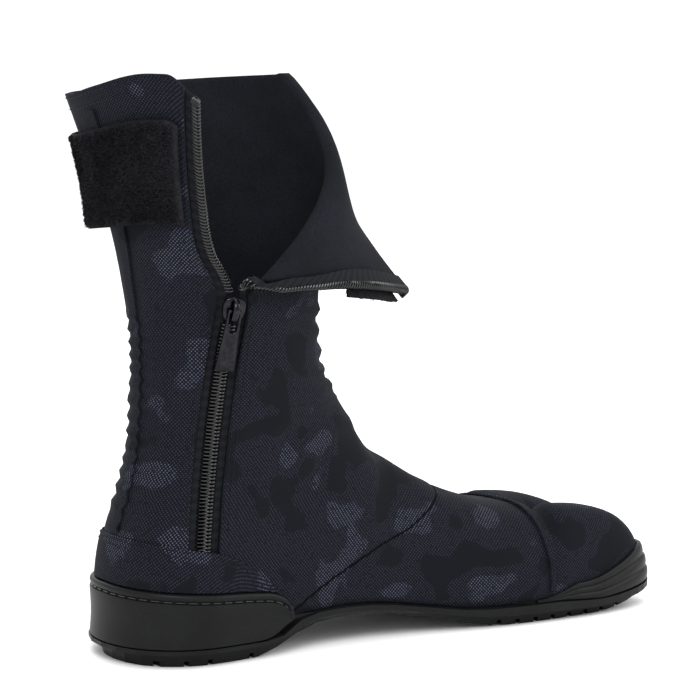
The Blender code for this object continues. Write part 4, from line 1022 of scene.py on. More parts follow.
def crease_lift(points):
    """How far each place of the cloth is raised or sunk by the creases, puckers and seams."""
    lift = np.zeros(len(points))
    x, y, z = points[:, 0] / MM, points[:, 1] / MM, points[:, 2] / MM
    middle = FOOT["crest"][0] * BALL_WIDTH / MM
    here = np.stack([x, z], 1)
    for side, x1, z1, x2, z2, half_width, height in CREASES:
        a, b = np.array([x1, z1], float), np.array([x2, z2], float)
        span = b - a
        t = ((here - a) @ span) / (span @ span)
        bow = 0.07 * np.linalg.norm(span) * np.sin(np.clip(t, 0, 1) * math.pi)
        across = (here - a) @ np.array([-span[1], span[0]]) / np.linalg.norm(span)
        fade = ease((t + 0.15) / 0.35) * ease((1.15 - t) / 0.35)
        on = (y < middle) if side == "inner" else (y > middle)
        shape = np.exp(-(((across - bow) / half_width) ** 2)) * fade
        lift += on * shape * height * CREASE_HEIGHT
    shaft = ease((z - 58) / 12) * ease((152 - z) / 10)
    front = ease((x - 52) / 8) * ease((z - 108) / 8)
    waves = np.sin(z * math.tau / FRONT_PUCKER + 0.7 * np.sin(z / 9.0))
    lift += front * ease((154 - z) / 6) * FRONT_PUCKER_HEIGHT * waves
    rear = ease((-12 - x) / 7)
    lift += rear * shaft * BACK_PUCKER_HEIGHT * back_waves(z)
    edges = (SEAM_X / MM - 1.2, (SEAM_X + SEAM_WIDTH) / MM + 1.0)
    seam = sum(np.exp(-(((x - edge) / 1.3) ** 2)) for edge in edges)
    lift -= 0.45 * MM * seam * (z < 60)
    run = np.interp(x, VAMP_SEAM["x"], VAMP_SEAM["z"])
    inside = (x > VAMP_SEAM["x"][0] - 4) & (x < VAMP_SEAM["x"][-1] + 4)
    lift -= 0.9 * MM * np.exp(-(((z - run) / 1.6) ** 2)) * inside
    soft = np.array([noise.noise(Vector((a / 26, b / 26, c / 18))) for a, b, c in zip(x, y, z)])
    fine = np.array([noise.noise(Vector((a / 7, b / 7, c / 5))) for a, b, c in zip(x, y, z)])
    calm = np.where(z > 156, 0.5, 1.0)
    return (lift + (0.35 * soft + 0.10 * fine) * MM) * calm * ease((z - feather(points[:, 0]) / MM) / 5)


def camouflage(points):
    """The camouflage's level at each place: below -0.35 plain, above 0.5 brightly dotted."""
    level = []
    for p in points / MM:
        broad = Vector(p) / 30
        warp = Vector((noise.noise(broad) * 14, noise.noise(broad + Vector((7, 0, 0))) * 14, 0))
        here = Vector((p[0], p[1] * 0.7, p[2])) + warp
        a = noise.noise(here / 21)
        b = noise.noise(here / 10 + Vector((3, 5, 1)))
        level.append(1.15 * a + 0.45 * b + 0.05)
    level = np.array(level)
    x, y, z = points[:, 0] / MM, points[:, 1] / MM, points[:, 2] / MM
    for patch_x, patch_z, half_length, half_width, degrees, strength in PATCHES:
        turn = math.radians(degrees)
        dx, dz = x - patch_x, z - patch_z
        far = (dx * math.cos(turn) + dz * math.sin(turn)) / half_length
        wide = (dz * math.cos(turn) - dx * math.sin(turn)) / half_width
        level += (y < 0) * strength * 0.75 * np.exp(-((far**2 + wide**2) ** 1.5) / 1.6)
    return level


def foot_grid(side, stations, steps):
    """Rows of the foot's skin and their map: along the foot, and up from the sole."""
    rows, maps = [], []
    for x, along_it in stations:
        row = np.array([foot_point(side, s, x) for s in steps])
        rows.append(row)
        maps.append(np.stack([np.full(len(row), along_it), float(feather(x)) + lengths(row)], 1))
    return rows, maps


def cloth_columns(height):
    """A closed row of the shaft at the fine mesh's columns, and its map from the back forward."""
    points, run, slot_front, slot_back, back = ring(height)
    front, rear = slot_front - BINDING, slot_back + BINDING
    places = columns(0, front, rear, back, run[-1])
    flat = on_line(points, run, places)
    rows = np.column_stack([flat, level_at(flat[:, 0], height)])
    return rows, np.stack([np.abs(places - back), rows[:, 2]], 1)


def open_cloth(step):
    """An open row at the fine mesh's columns. The fold moves one column a row."""
    if step == 0:
        return cloth_columns(ZIP_SLIDER)
    rise = step / FRONT_STEPS
    whole, length, back, fold = open_row(rise)
    total = fold / (1 - (1 - front_share()) * float(blend(FOLD, "round", rise)))
    front = front_share() * total
    places = np.concatenate(
        [
            np.linspace(front, fold, FRONT_STEPS - step + 1)[:-1],
            np.linspace(fold, length[-1] - BINDING, step + 1),
            np.linspace(BINDING, back, BACK_STEPS + 1)[:-1],
            np.linspace(back, front, OUTER_STEPS + 1),
        ]
    )
    rows = on_line(whole, length, places)
    up = ZIP_SLIDER + rise * (SHAFT_HEIGHT - ZIP_SLIDER)
    return rows, np.stack([np.abs(places - back), np.full(len(places), up)], 1)


def cloth_skin():
    """The whole outer skin at a fine step, as points, map and faces."""
    points, maps, faces = [], [], []

    def rows_of(rows, mapped, skip=(), split=False):
        start, width = len(points), len(rows[0])
        for row, uv in zip(rows, mapped):
            points.extend(row)
            maps.extend(uv)
        for r in range(len(rows) - 1):
            for c in range(width - 1):
                if c in skip:
                    continue
                one, two = start + r * width + c, start + (r + 1) * width + c
                if split:
                    faces.extend([(one, one + 1, two), (one + 1, two + 1, two)])
                else:
                    faces.append((one, one + 1, two + 1, two))

    steps = np.linspace(0, SECTION_STEPS, SECTION_STEPS * FINE + 1)
    levels = [foot_point("inner", s, JUNCTION)[2] for s in steps]
    _, run, _, _, back = ring(levels[len(levels) // 3])
    for side in ("inner", "outer"):
        start = back if side == "inner" else run[-1] - back
        stations = [(x, start + x - JUNCTION) for x in np.linspace(JUNCTION, SPLIT_ROOT, FOOT_ROWS + 1)]
        rows_of(*foot_grid(side, stations, steps))
        turns = np.concatenate([[0, 0.012, 0.03], np.linspace(0, 1, TOE_ROWS + 1)[2:]]) * math.pi / 2
        tip = TOES[side]["tip"]
        xs = np.minimum(SPLIT_ROOT + (tip - SPLIT_ROOT) * np.sin(turns) ** (2 / 3), tip)
        top = lengths(np.array([foot_point(side, SECTION_STEPS / 2, x) for x in xs]))
        rows_of(*foot_grid(side, [(x, start + SPLIT_ROOT - JUNCTION + t) for x, t in zip(xs, top)], steps))
    slot = (FRONT_STEPS,)
    rings = [cloth_columns(z) for z in levels]
    slotted = max(i for i, z in enumerate(levels) if z < ZIP_BOTTOM)
    rows_of(*zip(*rings[: slotted + 1]))
    rows_of(*zip(*rings[slotted:]), skip=slot)
    shaft = np.linspace(INSTEP_HEIGHT, ZIP_SLIDER, LOW_RINGS + 1)
    rows_of(*zip(*[cloth_columns(z) for z in shaft]), skip=slot)
    rows = [open_cloth(i) for i in range(FRONT_STEPS + 1)]
    cut = FRONT_STEPS + 1
    rows_of([r[0][:cut] for r in rows], [r[1][:cut] for r in rows], split=True)
    rows_of([r[0][cut:] for r in rows], [r[1][cut:] for r in rows])
    return points, maps, faces


def make_cloth():
    """The upper: foot, toe stalls, shaft and flap as one cloth with its creases, and its lining inside."""
    points, maps, faces = cloth_skin()
    skin = piece("cloth_upper", points, faces, finishes()["duck"], uvs=maps)
    skin.data.materials.append(finishes()["lining"])
    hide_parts("upper")
    work = bmesh.new()
    work.from_mesh(skin.data)
    work.normal_update()
    work.verts.ensure_lookup_table()
    spots = np.array([v.co for v in work.verts])
    normals = np.array([v.normal for v in work.verts])
    middle = np.array([0.03, 0.0])
    low = (spots[:, 2] < 0.1) & (spots[:, 0] < 0.05)
    if np.mean(np.sum((spots[low, :2] - middle) * normals[low, :2], 1)) < 0:
        bmesh.ops.reverse_faces(work, faces=work.faces)
        normals = -normals
    spots = spots + normals * crease_lift(spots)[:, None]
    for v, p in zip(work.verts, spots):
        v.co = p
    work.normal_update()
    SKIN["tree"] = BVHTree.FromBMesh(work)
    patch = work.verts.layers.float.new("patch")
    for v, level in zip(work.verts, camouflage(spots)):
        v[patch] = level
    rim = [e for e in work.edges if e.is_boundary]
    inner = {}
    for v in list(work.verts):
        inward = -v.normal
        if v.is_boundary and v.co.z < ARCH_TOP + 2 * GAP:
            inward.z = 0
        made = work.verts.new(v.co + inward.normalized() * WALL * min(v.calc_shell_factor(), 1.3))
        made[patch] = v[patch]
        inner[v] = made
    uv = work.loops.layers.uv.active
    for face in list(work.faces):
        made = work.faces.new([inner[v] for v in reversed(face.verts)])
        made.material_index = 1
        made.smooth = True
        for loop, source in zip(made.loops, reversed(face.loops)):
            loop[uv].uv = source[uv].uv
    for edge in rim:
        a, b = edge.verts
        loop = edge.link_loops[0]
        if loop.vert != a:
            a, b = b, a
        made = work.faces.new([b, a, inner[a], inner[b]])
        made.material_index = 1
        made.smooth = True
    work.to_mesh(skin.data)
    work.free()
    return skin


def zip_spot(row):
    facing = -1 if row == "rear" else 1
    return raised(lambda reach, level: zip_skin(row, reach, level), facing, (0.0006, 0.0010))


def back_skin(reach, level):
    """The skin at the back: reach is the distance from the middle, towards the outer side."""
    if level <= ZIP_SLIDER:
        points, run, _, _, back = ring(level)
        x, y = on_line(points, run, back + reach)
        return np.array([x, y, float(level_at(x, level))])
    whole, length, back, _ = open_row((level - ZIP_SLIDER) / (SHAFT_HEIGHT - ZIP_SLIDER))
    return on_line(whole, length, back + reach)


def slider_frame():
    """The slider's place and its three directions: forward, up the zip and outward."""
    spot = zip_spot("front")
    here = spot(-ZIP_SLOT / 2, SLIDER_LEVEL, 0)
    below = spot(-ZIP_SLOT / 2, SLIDER_LEVEL - 0.008, 0)
    up = (here - below) / np.linalg.norm(here - below)
    out = spot(-ZIP_SLOT / 2, SLIDER_LEVEL, 0.01) - here
    out -= up * out.dot(up)
    out /= np.linalg.norm(out)
    forward = np.cross(up, out)
    return here, forward, up, out


def placed(directions, points):
    """Points of the slider's own frame, in world coordinates."""
    here, forward, up, out = directions
    return [here + forward * a + up * b + out * c for a, b, c in points]


def strap(line, width, thickness, sides=8):
    """Sections of a flat rounded strap along a line of points in the plane across the slider."""
    side = np.array([1.0, 0.0, 0.0])
    turn = np.linspace(0, 2 * math.pi, sides + 1)[:-1] + math.pi / sides
    rings = []
    for point, ahead in zip(line, np.gradient(line, axis=0)):
        lift = np.cross(side, ahead / np.linalg.norm(ahead))
        half = width / 2 * side, thickness / 2 * lift
        rings.append([point + half[0] * math.cos(t) + half[1] * math.sin(t) for t in turn])
    return rings


def make_tape(row):
    """One side of the zip's tape, inside the wall, its edge in the slot and then in the open."""
    spot = zip_spot(row)
    low = np.linspace(ZIP_BOTTOM - 0.008, ZIP_SLIDER - 0.006, 30)
    levels = np.concatenate([low, np.linspace(ZIP_SLIDER + 0.0015, SHAFT_HEIGHT - 0.0015, 70)])
    edge = -(ZIP_SLOT / 2 - COIL_WIDTH / 2) + 0.0008

    def section(level):
        open_part = (level - ZIP_SLIDER) / (SHAFT_HEIGHT - ZIP_SLIDER)
        tuck = TAPE_TUCK * float(1.4 * ease(abs(open_part - 0.08) / 0.17) - 0.4)
        tuck = tuck if row == "front" and open_part > -0.07 else TAPE_TUCK
        depth = WALL + TAPE_GAP
        if row == "front":
            depth += 0.0016 * float(1 - ease(abs(open_part - 0.13) / 0.14))
        near = [spot(r, level, -depth) for r in np.linspace(edge, tuck, 4)]
        far = [spot(r, level, -depth - TAPE_THICKNESS) for r in np.linspace(tuck, edge, 4)]
        return near + far

    made = loft("woven_zip_tape_" + row, levels, section, finishes()["tape"])
    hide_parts("zip_tape_" + row)


def make_tapes():
    """Both sides of the zip's tape."""
    for row in ("rear", "front"):
        make_tape(row)


def zip_frame(spot, reach, level):
    """A place on the zip with its directions: across towards the slot's middle, along and outward."""
    here = spot(reach, level, 0)
    across = spot(reach - 0.001, level, 0) - here
    across /= np.linalg.norm(across)
    out = spot(reach, level, 0.001) - here
    out -= across * out.dot(across)
    out /= np.linalg.norm(out)
    return here, across, np.cross(out, across), out


TOOTH = {
    "across": (0.0, 0.35, 1.2, 2.4, 3.5, 3.9, 3.5),
    "along": (0.0, 0.0, 0.05, 0.10, 0.20, 0.30, 0.45),
    "out": (-0.2, 0.9, 1.9, 2.1, 1.6, 0.8, 0.1),
}
OPEN_TURN = {
    "across": (0.5, 1.8, 3.0, 3.7, 3.8, 3.2, 2.0, 0.9),
    "along": (0.0, 0.05, 0.10, 0.20, 0.35, 0.45, 0.50, 0.55),
    "out": (1.3, 1.9, 1.8, 1.1, 0.0, -1.0, -1.5, -1.4),
}
TOOTH_PITCH = 1.5 * MM
TOOTH_RADIUS = 0.42 * MM


def tooth(place_at, flip, reach, shape=TOOTH):
    """One turn of the coil: an arch in the closed chain, and right round the tape's edge in the open rows."""
    here, across, along_it, out = place_at
    path = []
    for a, b, c in zip(shape["across"], shape["along"], shape["out"]):
        share = reach / max(shape["across"])
        path.append(here + (across * a * share * flip + along_it * b + out * c) * MM)
    return path


def make_teeth():
    """The zip's coils, one turn each 1.5 mm: two rows meshed below the slider and one on each open side."""
    base = -WALL - TAPE_GAP + SEAT_GAP
    middle = ZIP_SLOT / 2
    front = zip_spot("front")
    closed = []
    bottom, top = ZIP_BOTTOM + 0.0010, SLIDER_LEVEL - SLIDER_LENGTH / 2 - 0.0006
    for level in np.arange(bottom, top, TOOTH_PITCH):
        for flip, shift in ((1, 0.0), (-1, 0.5)):
            here, across, along_it, out = zip_frame(front, -middle, level + shift * TOOTH_PITCH)
            start = here - across * flip * (COIL_WIDTH - 0.0001) + out * base
            closed.append(tooth((start, across, along_it, out), flip, 4.2))
    size = TOOTH_RADIUS * np.array([0.9, 1.0, 1.0, 1.0, 1.15, 1.0, 0.6])
    points, faces = tubes(closed, size, 7)
    chain = piece("zip_coils_closed", points, faces, finishes()["nylon"])
    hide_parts("zip_chain")
    for row, start in (("rear", 0.0045), ("front", 0.0060)):
        spot = zip_spot(row)
        levels = np.linspace(ZIP_SLIDER + start, SHAFT_HEIGHT - 0.0025, 160)
        reach = -(middle - COIL_WIDTH - 0.0002)
        run = lengths(np.array([spot(reach, level, base) for level in levels]))
        turns = []
        for at in np.arange(TOOTH_PITCH / 2, run[-1], TOOTH_PITCH):
            here, across, along_it, out = zip_frame(spot, reach, float(np.interp(at, run, levels)))
            turns.append(tooth((here + out * base, across, along_it, out), 1, 3.8, OPEN_TURN))
        points, faces = tubes(turns, TOOTH_RADIUS, 7)
        made = piece("zip_coils_" + row, points, faces, finishes()["nylon"])
        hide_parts("zip_coil_" + row)


def rounded_plate(outline, low, high, bevel, frame_of, name, finish, body, hole=None):
    """A plate with rounded edges from a flat outline in a frame of its own, with a hole where one is given."""
    work = bmesh.new()

    def ring_of(shape, level):
        return [work.verts.new(p) for p in placed(frame_of, [(a, b, level) for a, b in shape])]

    loops = [[ring_of(s, level) for level in (low, high)] for s in ([outline] + ([hole] if hole else []))]
    for bottom, top in loops:
        for i in range(len(bottom)):
            j = (i + 1) % len(bottom)
            work.faces.new([bottom[i], bottom[j], top[j], top[i]])
    for side in (0, 1):
        edges = []
        for pair in loops:
            one = pair[side]
            edges += [work.edges.get([one[i], one[(i + 1) % len(one)]]) for i in range(len(one))]
        bmesh.ops.triangle_fill(work, use_beauty=True, use_dissolve=False, edges=edges)
    bmesh.ops.recalc_face_normals(work, faces=work.faces)
    sharp = [e for e in work.edges if e.is_manifold and e.calc_face_angle(0) > 1.0]
    bmesh.ops.bevel(work, geom=sharp, offset=bevel, segments=3, profile=0.6, affect="EDGES")
    points = [tuple(v.co) for v in work.verts]
    work.verts.index_update()
    faces = [[v.index for v in f.verts] for f in work.faces]
    work.free()
    return piece(name, points, faces, finish, body)


def make_slider():
    """The slider's body with its bridge, and the pull that hangs from it."""
    at = slider_frame()
    metal = finishes()["nickel"]
    wide, narrow, long = SLIDER_WIDTH / 2, SLIDER_WIDTH * 0.38, SLIDER_LENGTH / 2
    low, high = -WALL + 0.0003, SLIDER_HEIGHT - WALL
    knots = [(-narrow, -long), (narrow, -long), (wide * 0.96, -long * 0.1)]
    knots += [(wide, long * 0.7), (wide * 0.55, long)]
    knots += [(-a, b) for a, b in knots[:1:-1]]
    rings = [
        [(a * share, b * share, level) for a, b in knots]
        for share, level in ((0.72, low), (0.72, 0.0004), (0.97, 0.0006), (1.0, 0.0010), (1.0, high - 0.0009))
    ]
    rings += [[(a * s, b * s, high - d) for a, b in knots] for s, d in ((0.96, 0.0003), (0.88, 0.0))]
    body = loft("zip_slider_body", range(len(rings)), lambda i: placed(at, rings[i]), metal)
    body.modifiers.new("Round", "SUBSURF").levels = 1
    body.modifiers["Round"].render_levels = 1
    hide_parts("zip_slider")
    top = high + BRIDGE_ROOM
    turns = np.linspace(0, math.pi, 25)
    foot = high - 0.0012
    line = np.array([(0, 0.0046 * math.cos(t), foot + (top - foot) * math.sin(t) ** 0.6) for t in turns])
    bars = strap(line, BRIDGE_WIDTH, BRIDGE_THICKNESS, 16)
    loft("zip_slider_bridge", range(len(line)), lambda i: placed(at, bars[i]), metal)
    axis = high + PULL_AXIS
    half, eye, bar = PULL_WIDTH / 2, PULL_EYE / 2, PULL_THICKNESS / 2
    tail = bar - PULL_LENGTH
    side = [(half * 0.70, bar), (half * 0.73, bar - 0.0045), (half * 0.80, bar - 0.0115)]
    side += [(half * 0.9, bar - 0.018), (half, tail + 0.0012), (half * 0.95, tail)]
    outline = side + [(-a, b) for a, b in side[::-1]]
    arc = [(-eye * math.cos(t), -0.0072 - eye * math.sin(t)) for t in np.linspace(0, math.pi, 13)]
    hole = [(eye, -bar), (-eye, -bar)] + arc
    pull = rounded_plate(
        outline, axis - bar, axis + bar, 0.00045, at, "zip_pull_tab", metal, PULL_BODY, hole[::-1]
    )
    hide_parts("zip_pull")


def make_stops():
    """The small pressed metal stops at the top ends of the two open rows."""
    metal = finishes()["nickel"]
    middle = ZIP_SLOT / 2
    for row in ("rear", "front"):
        spot = zip_spot(row)
        here = zip_frame(spot, -(middle - COIL_WIDTH), SHAFT_HEIGHT - 0.0030)
        start, across, along_it, out = here
        shape = [(0.2, -0.4), (3.9, -0.4), (4.2, 0.6), (3.9, 1.4), (0.2, 1.4)]
        frame_of = (start + out * (-WALL + 0.0004), across, along_it, out)
        shape = [(a * MM, b * MM) for a, b in shape]
        rounded_plate(shape, 0.0, 0.0030, 0.0004, frame_of, "zip_top_stop_" + row, metal, BODY)


def tab_section(reach, steps):
    """A section across the closing tab, from its lower edge up."""

    def skin(at, rise):
        whole, length, _, _ = open_row(rise)
        return on_line(whole, length, at)

    spot = raised(skin, -1, (0.0010, 0.006))
    share = (reach - TAB_START) / TAB_LENGTH
    swell = math.sin(math.pi * min(1.0, share * 1.05)) ** 2
    rows = []
    for t in np.linspace(0, 1, steps):
        rise = TAB_LOW + (TAB_HIGH - TAB_LOW) * t
        lift = float(np.interp(t, (0, 0.5, 1), (1.0, 0.42, 0.06)))
        rows.append((rise, TAB_GAP + swell * TAB_STAND_OFF * lift))
    under = [spot(reach, rise, off) for rise, off in rows]
    over = [spot(reach, rise, off + TAB_THICKNESS * 0.7) for rise, off in rows[::-1]]
    return under + over


def make_tab():
    """The closing tab, folded back round the shaft, with its loop pile outward, and the patch on the flap."""
    steps = 13
    stations = np.linspace(TAB_START, TAB_START + TAB_LENGTH, 60)
    sections = [np.array(tab_section(r, steps)) for r in stations]
    base = loft("closing_tab_webbing", range(60), lambda i: sections[i], finishes()["pile"])
    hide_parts("closing_tab")
    over = np.array([s[steps:] for s in sections])
    under = np.array([s[:steps][::-1] for s in sections])
    loops_on("closing_tab_pile", over, over - under, 5200, 11)
    spot = zip_spot("front")
    lift = COIL_HEIGHT - WALL - GAP + 0.0006
    levels = ZIP_SLIDER + np.linspace(0.62, 0.91, 30) * (SHAFT_HEIGHT - ZIP_SLIDER)
    reaches = np.linspace(PATCH_OVERHANG, PATCH_OVERHANG + PATCH_WIDTH, 8)

    def section(level):
        near = [spot(r, level, lift) for r in reaches]
        return near + [spot(r, level, lift + PATCH_THICKNESS * 0.7) for r in reaches[::-1]]

    patch = loft("loop_patch_base", levels, section, finishes()["pile"])
    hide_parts("loop_patch")
    grid = np.array([section(level) for level in levels])
    loops_on("loop_patch_pile", grid[:, 8:], grid[:, 8:] - grid[:, :8][:, ::-1], 1300, 12)


def loops_on(name, grid, outward, count, seed):
    """Small random loops of filament over a grid of points, each standing about a millimetre off it."""
    rng = np.random.default_rng(seed)
    rows, cols = grid.shape[:2]
    paths = []
    for _ in range(count):
        r, c = rng.uniform(0.02 * rows, rows * 0.955), rng.uniform(0.3, cols - 1.3)
        i, j = min(int(r), rows - 2), min(int(c), cols - 2)
        f, g = r - i, c - j
        one = grid[i, j] * (1 - f) + grid[i + 1, j] * f
        two = grid[i, j + 1] * (1 - f) + grid[i + 1, j + 1] * f
        here = one * (1 - g) + two * g
        out = outward[i, j] / np.linalg.norm(outward[i, j])
        a = grid[i + 1, j] - grid[i, j]
        a /= np.linalg.norm(a)
        b = np.cross(out, a)
        turn = rng.uniform(0, math.tau)
        lean = math.cos(turn) * a + math.sin(turn) * b
        tall, wide = rng.uniform(0.8, 1.9) * MM, rng.uniform(0.6, 1.5) * MM
        slant = rng.normal(0, 0.35) * MM
        cross = np.cross(out, lean)
        paths.append(
            [
                here + lean * wide * math.cos(t) + out * tall * math.sin(t) + cross * slant * math.sin(t)
                for t in np.linspace(0, math.pi, 5)
            ]
        )
    points, faces = tubes(paths, 0.16 * MM, 3)
    return piece(name, points, faces, finishes()["pile"], smooth=True)


def cup_top(share):
    return float(blend(CUP, "up", abs(share) / CUP_REACH))


def above_ledge(x):
    near = along(x + np.linspace(-0.003, 0.005, 5))
    return float(np.max(blend(SOLE, "ledge_top", near))) * ARCH_TOP + GAP


def make_heel():
    """The rubber heel cup with its rolled top edge and sewn groove, and the cloth counter above it."""
    spot = raised(heel_skin, -1)

    def cup(share):
        top, low = cup_top(share), above_ledge(heel_skin(share, 0.012)[0])
        seat, out = SEAT_GAP, SEAT_GAP + CUP_THICKNESS
        groove = top - BEAD_HEIGHT
        body = np.linspace(low + 0.0008, groove - 0.0012, 6)
        lines = [(low, seat), (low, out - 0.0004), (low + 0.0003, out + 0.0001)]
        lines += [(z, out + 0.0001 - 0.0005 * math.sin(math.pi * k / 5)) for k, z in enumerate(body)]
        sunk = out - GROOVE_DEPTH
        lines += [(groove - 0.0006, out), (groove - 0.0003, sunk), (groove + 0.0004, sunk)]
        for t in np.linspace(-0.4, 1.0, 8) * math.pi / 2:
            lines.append((top - 0.0016 + 0.0015 * math.sin(t), out - 0.0012 + 0.0013 * math.cos(t)))
        lines.append((top, seat))
        return [spot(share, z, off) for z, off in lines]

    shares = np.linspace(-CUP_REACH, CUP_REACH, 141)
    made = loft("moulded_heel_cup", shares, cup, finishes()["rubber"])
    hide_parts("heel_cup")
    ends = []
    for sign in (-1, 1):
        rows = []
        for t in np.linspace(0, 1, 24):
            share = sign * (CUP_REACH - 0.012 * t**3)
            top, low = cup_top(share) - 0.0016, above_ledge(heel_skin(share, 0.012)[0]) + 0.0009
            rows.append(spot(share, low + (top - low) * t, SEAT_GAP + CUP_THICKNESS - 0.0011))
        ends.append(rows)
    points, faces = tubes(ends, 0.0014, 10)
    piece("heel_cup_end_beads", points, faces, finishes()["rubber"])
    lines = []
    for t in np.linspace(-CUP_REACH * 0.985, CUP_REACH * 0.985, 260):
        height = SEAT_GAP + CUP_THICKNESS - GROOVE_DEPTH + 0.0001
        lines.append(spot(t, cup_top(t) - BEAD_HEIGHT + 0.00005, height))
    line = np.array(lines)
    run = lengths(line)
    starts = np.arange(0, run[-1] - 4 * MM, 5.4 * MM)
    paths = [on_line(line, run, np.linspace(s, s + 3.6 * MM, 4)) for s in starts]
    points, faces = tubes(paths, 0.0004, 6)
    piece("heel_cup_thread", points, faces, finishes()["nylon"])

    def counter(share):
        bottom = cup_top(share) + 2 * GAP
        top = max(float(blend(COUNTER, "up", abs(share) / COUNTER_REACH)), bottom + 0.0015)
        levels = np.linspace(bottom, top, 8)
        under = [spot(share, z, SEAT_GAP) for z in levels]
        thick = [OVERLAY * (1.0 - 0.5 * (k == 7)) for k in range(8)]
        return under + [spot(share, z, SEAT_GAP + d) for z, d in list(zip(levels, thick))[::-1]]

    shares = np.linspace(-COUNTER_REACH, COUNTER_REACH, 121)
    made = loft("heel_counter_cloth", shares, counter, finishes()["duck"])
    paint(made)
    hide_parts("heel_counter")


def paint(obj):
    """The camouflage's level on a piece of its own."""
    spots = np.array([v.co for v in obj.data.vertices])
    layer = obj.data.attributes.new("patch", "FLOAT", "POINT")
    layer.data.foreach_set("value", camouflage(spots))


def make_guards():
    """The stepped rubber guards round the two toe stalls."""
    for side, name in (("inner", "toe_guard_big"), ("outer", "toe_guard_small")):
        facing = 1 if side == "inner" else -1
        spot = raised(lambda share, z: toe_skin(side, share, z), facing, (0.006, 0.0004))
        stations = np.concatenate([np.linspace(GUARD_FROM, 0.0, 20)[:-1], np.linspace(0, GUARD_TO, 80)])

        def section(share):
            low = above_ledge(toe_skin(side, share, 0.012)[0])
            grow = float(ease((share - GUARD_FROM) / 0.60))
            fade = 1 - float(ease((share - 0.56) / (GUARD_TO - 0.56)))
            top = low + 0.0012 + (GUARD_TOP - low - 0.0012) * grow * (0.40 + 0.60 * fade)
            thick = GUARD_THICKNESS * (0.22 + 0.78 * min(grow * 2.2, 1)) * (0.18 + 0.82 * fade)
            step = (top - low) / 3
            lines = [(low, SEAT_GAP), (low, SEAT_GAP + thick * 0.9)]
            for k, share_of in enumerate((1.0, 0.79, 0.56)):
                for t in (0.10, 0.35, 0.65, 0.85, 0.95):
                    round_off = 0.10 * max(0.0, (t - 0.6) / 0.35) ** 2 + 0.08 * max(0.0, (0.35 - t) / 0.25)
                    lines.append((low + step * (k + t), SEAT_GAP + thick * (share_of - round_off)))
            lines += [(top, SEAT_GAP + thick * 0.2), (top, SEAT_GAP), (low + step * 1.5, SEAT_GAP)]
            return [spot(share, z, off) for z, off in lines]

        made = loft("moulded_" + name, stations, section, finishes()["rubber"])
        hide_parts(name)


def make_strips():
    """The cloth strips sewn over the back seam and over the seam of the toe cap."""
    spot = raised(back_skin, -1, (0.0005, 0.0008))
    low, high = COUNTER["up"][0] + 0.0022, SHAFT_HEIGHT - 0.0100
    lower = np.linspace(low, ZIP_SLIDER - 0.004, 90)
    levels = np.concatenate([lower, np.linspace(ZIP_SLIDER + 0.004, high, 60)])
    across = np.linspace(-STRIP_WIDTH / 2, STRIP_WIDTH / 2, 5)

    def pucker(level):
        return BACK_PUCKER_HEIGHT * float(back_waves(level / MM)) * (level < 0.150)

    def section(level):
        under = [spot(a, level, GAP + pucker(level)) for a in across]
        over = [spot(a, level, GAP + OVERLAY + 0.0002 + pucker(level)) for a in across[::-1]]
        return under + over

    made = loft("back_seam_strip", levels, section, finishes()["duck"])
    paint(made)
    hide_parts("back_strip")
    over = raised(foot_skin, -1, (0.01, 0.0008))

    def seam(share):
        xs = np.linspace(SEAM_X, SEAM_X + SEAM_WIDTH, 5)
        return [over(share, x, GAP) for x in xs] + [over(share, x, GAP + OVERLAY) for x in xs[::-1]]

    made = loft("toe_cap_seam_strip", np.linspace(-0.975, 0.975, 141), seam, finishes()["duck"])
    paint(made)
    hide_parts("toe_seam")


def make_stitches():
    """The stitching of the collar hem, the zip edges, the heel counter and the toe cap."""
    collar, zips = [], []
    for drop in (0.020, 0.075):
        whole, length, _, fold = open_row(1 - drop)
        collar.append(on_line(whole, length, np.linspace(0.004, fold - 0.004, 160)))
    for row in ("rear", "front"):
        for inset in (0.0026, 0.0052):
            top = ZIP_SLIDER - 0.004
            low = [zip_skin(row, inset, z) for z in np.linspace(ZIP_BOTTOM + 0.004, top, 60)]
            zips.append(np.array(low))
    high = [zip_skin("rear", 0.0026, z) for z in np.linspace(ZIP_SLIDER + 0.004, SHAFT_HEIGHT - 0.006, 60)]
    zips.append(np.array(high))
    sewn("stitches_collar_and_zip", collar + zips)
    counter = []
    for drop in (0.0012, 0.0036):
        shares = np.linspace(-COUNTER_REACH * 0.97, COUNTER_REACH * 0.97, 160)
        levels = blend(COUNTER, "up", np.abs(shares) / COUNTER_REACH) - drop
        counter.append(np.array([heel_skin(s, float(level)) for s, level in zip(shares, levels)]))
    raised_by(counter, "stitches_counter", SEAT_GAP + OVERLAY)
    shares = np.linspace(-0.95, 0.95, 120)
    rows = (SEAM_X + 0.0009, SEAM_X + SEAM_WIDTH - 0.0009)
    toe = [np.array([foot_skin(s, x) for s in shares]) for x in rows]
    raised_by(toe, "stitches_toe_cap", GAP + OVERLAY)


def make_vamp_seam():
    """A black tube sunk in the groove of the seam that joins the vamp's two pieces, on both sides of the foot:
    painted shade of the groove.
    """
    paths = []
    for start, ahead in ((-0.2, 1), (0.2, -1)):
        path = []
        for x in np.linspace(VAMP_SEAM["x"][0], VAMP_SEAM["x"][-1], 60):
            z = float(np.interp(x, VAMP_SEAM["x"], VAMP_SEAM["z"]))
            spot, normal, _, _ = SKIN["tree"].ray_cast(Vector((x * MM, start, z * MM)), Vector((0, ahead, 0)))
            if spot is not None:
                path.append(spot + normal * 0.0001)
        paths.append(path)
    points, faces = tubes(paths, 0.00045, 6)
    piece("vamp_seam_painted_shade", points, faces, finishes()["seam_shade"])


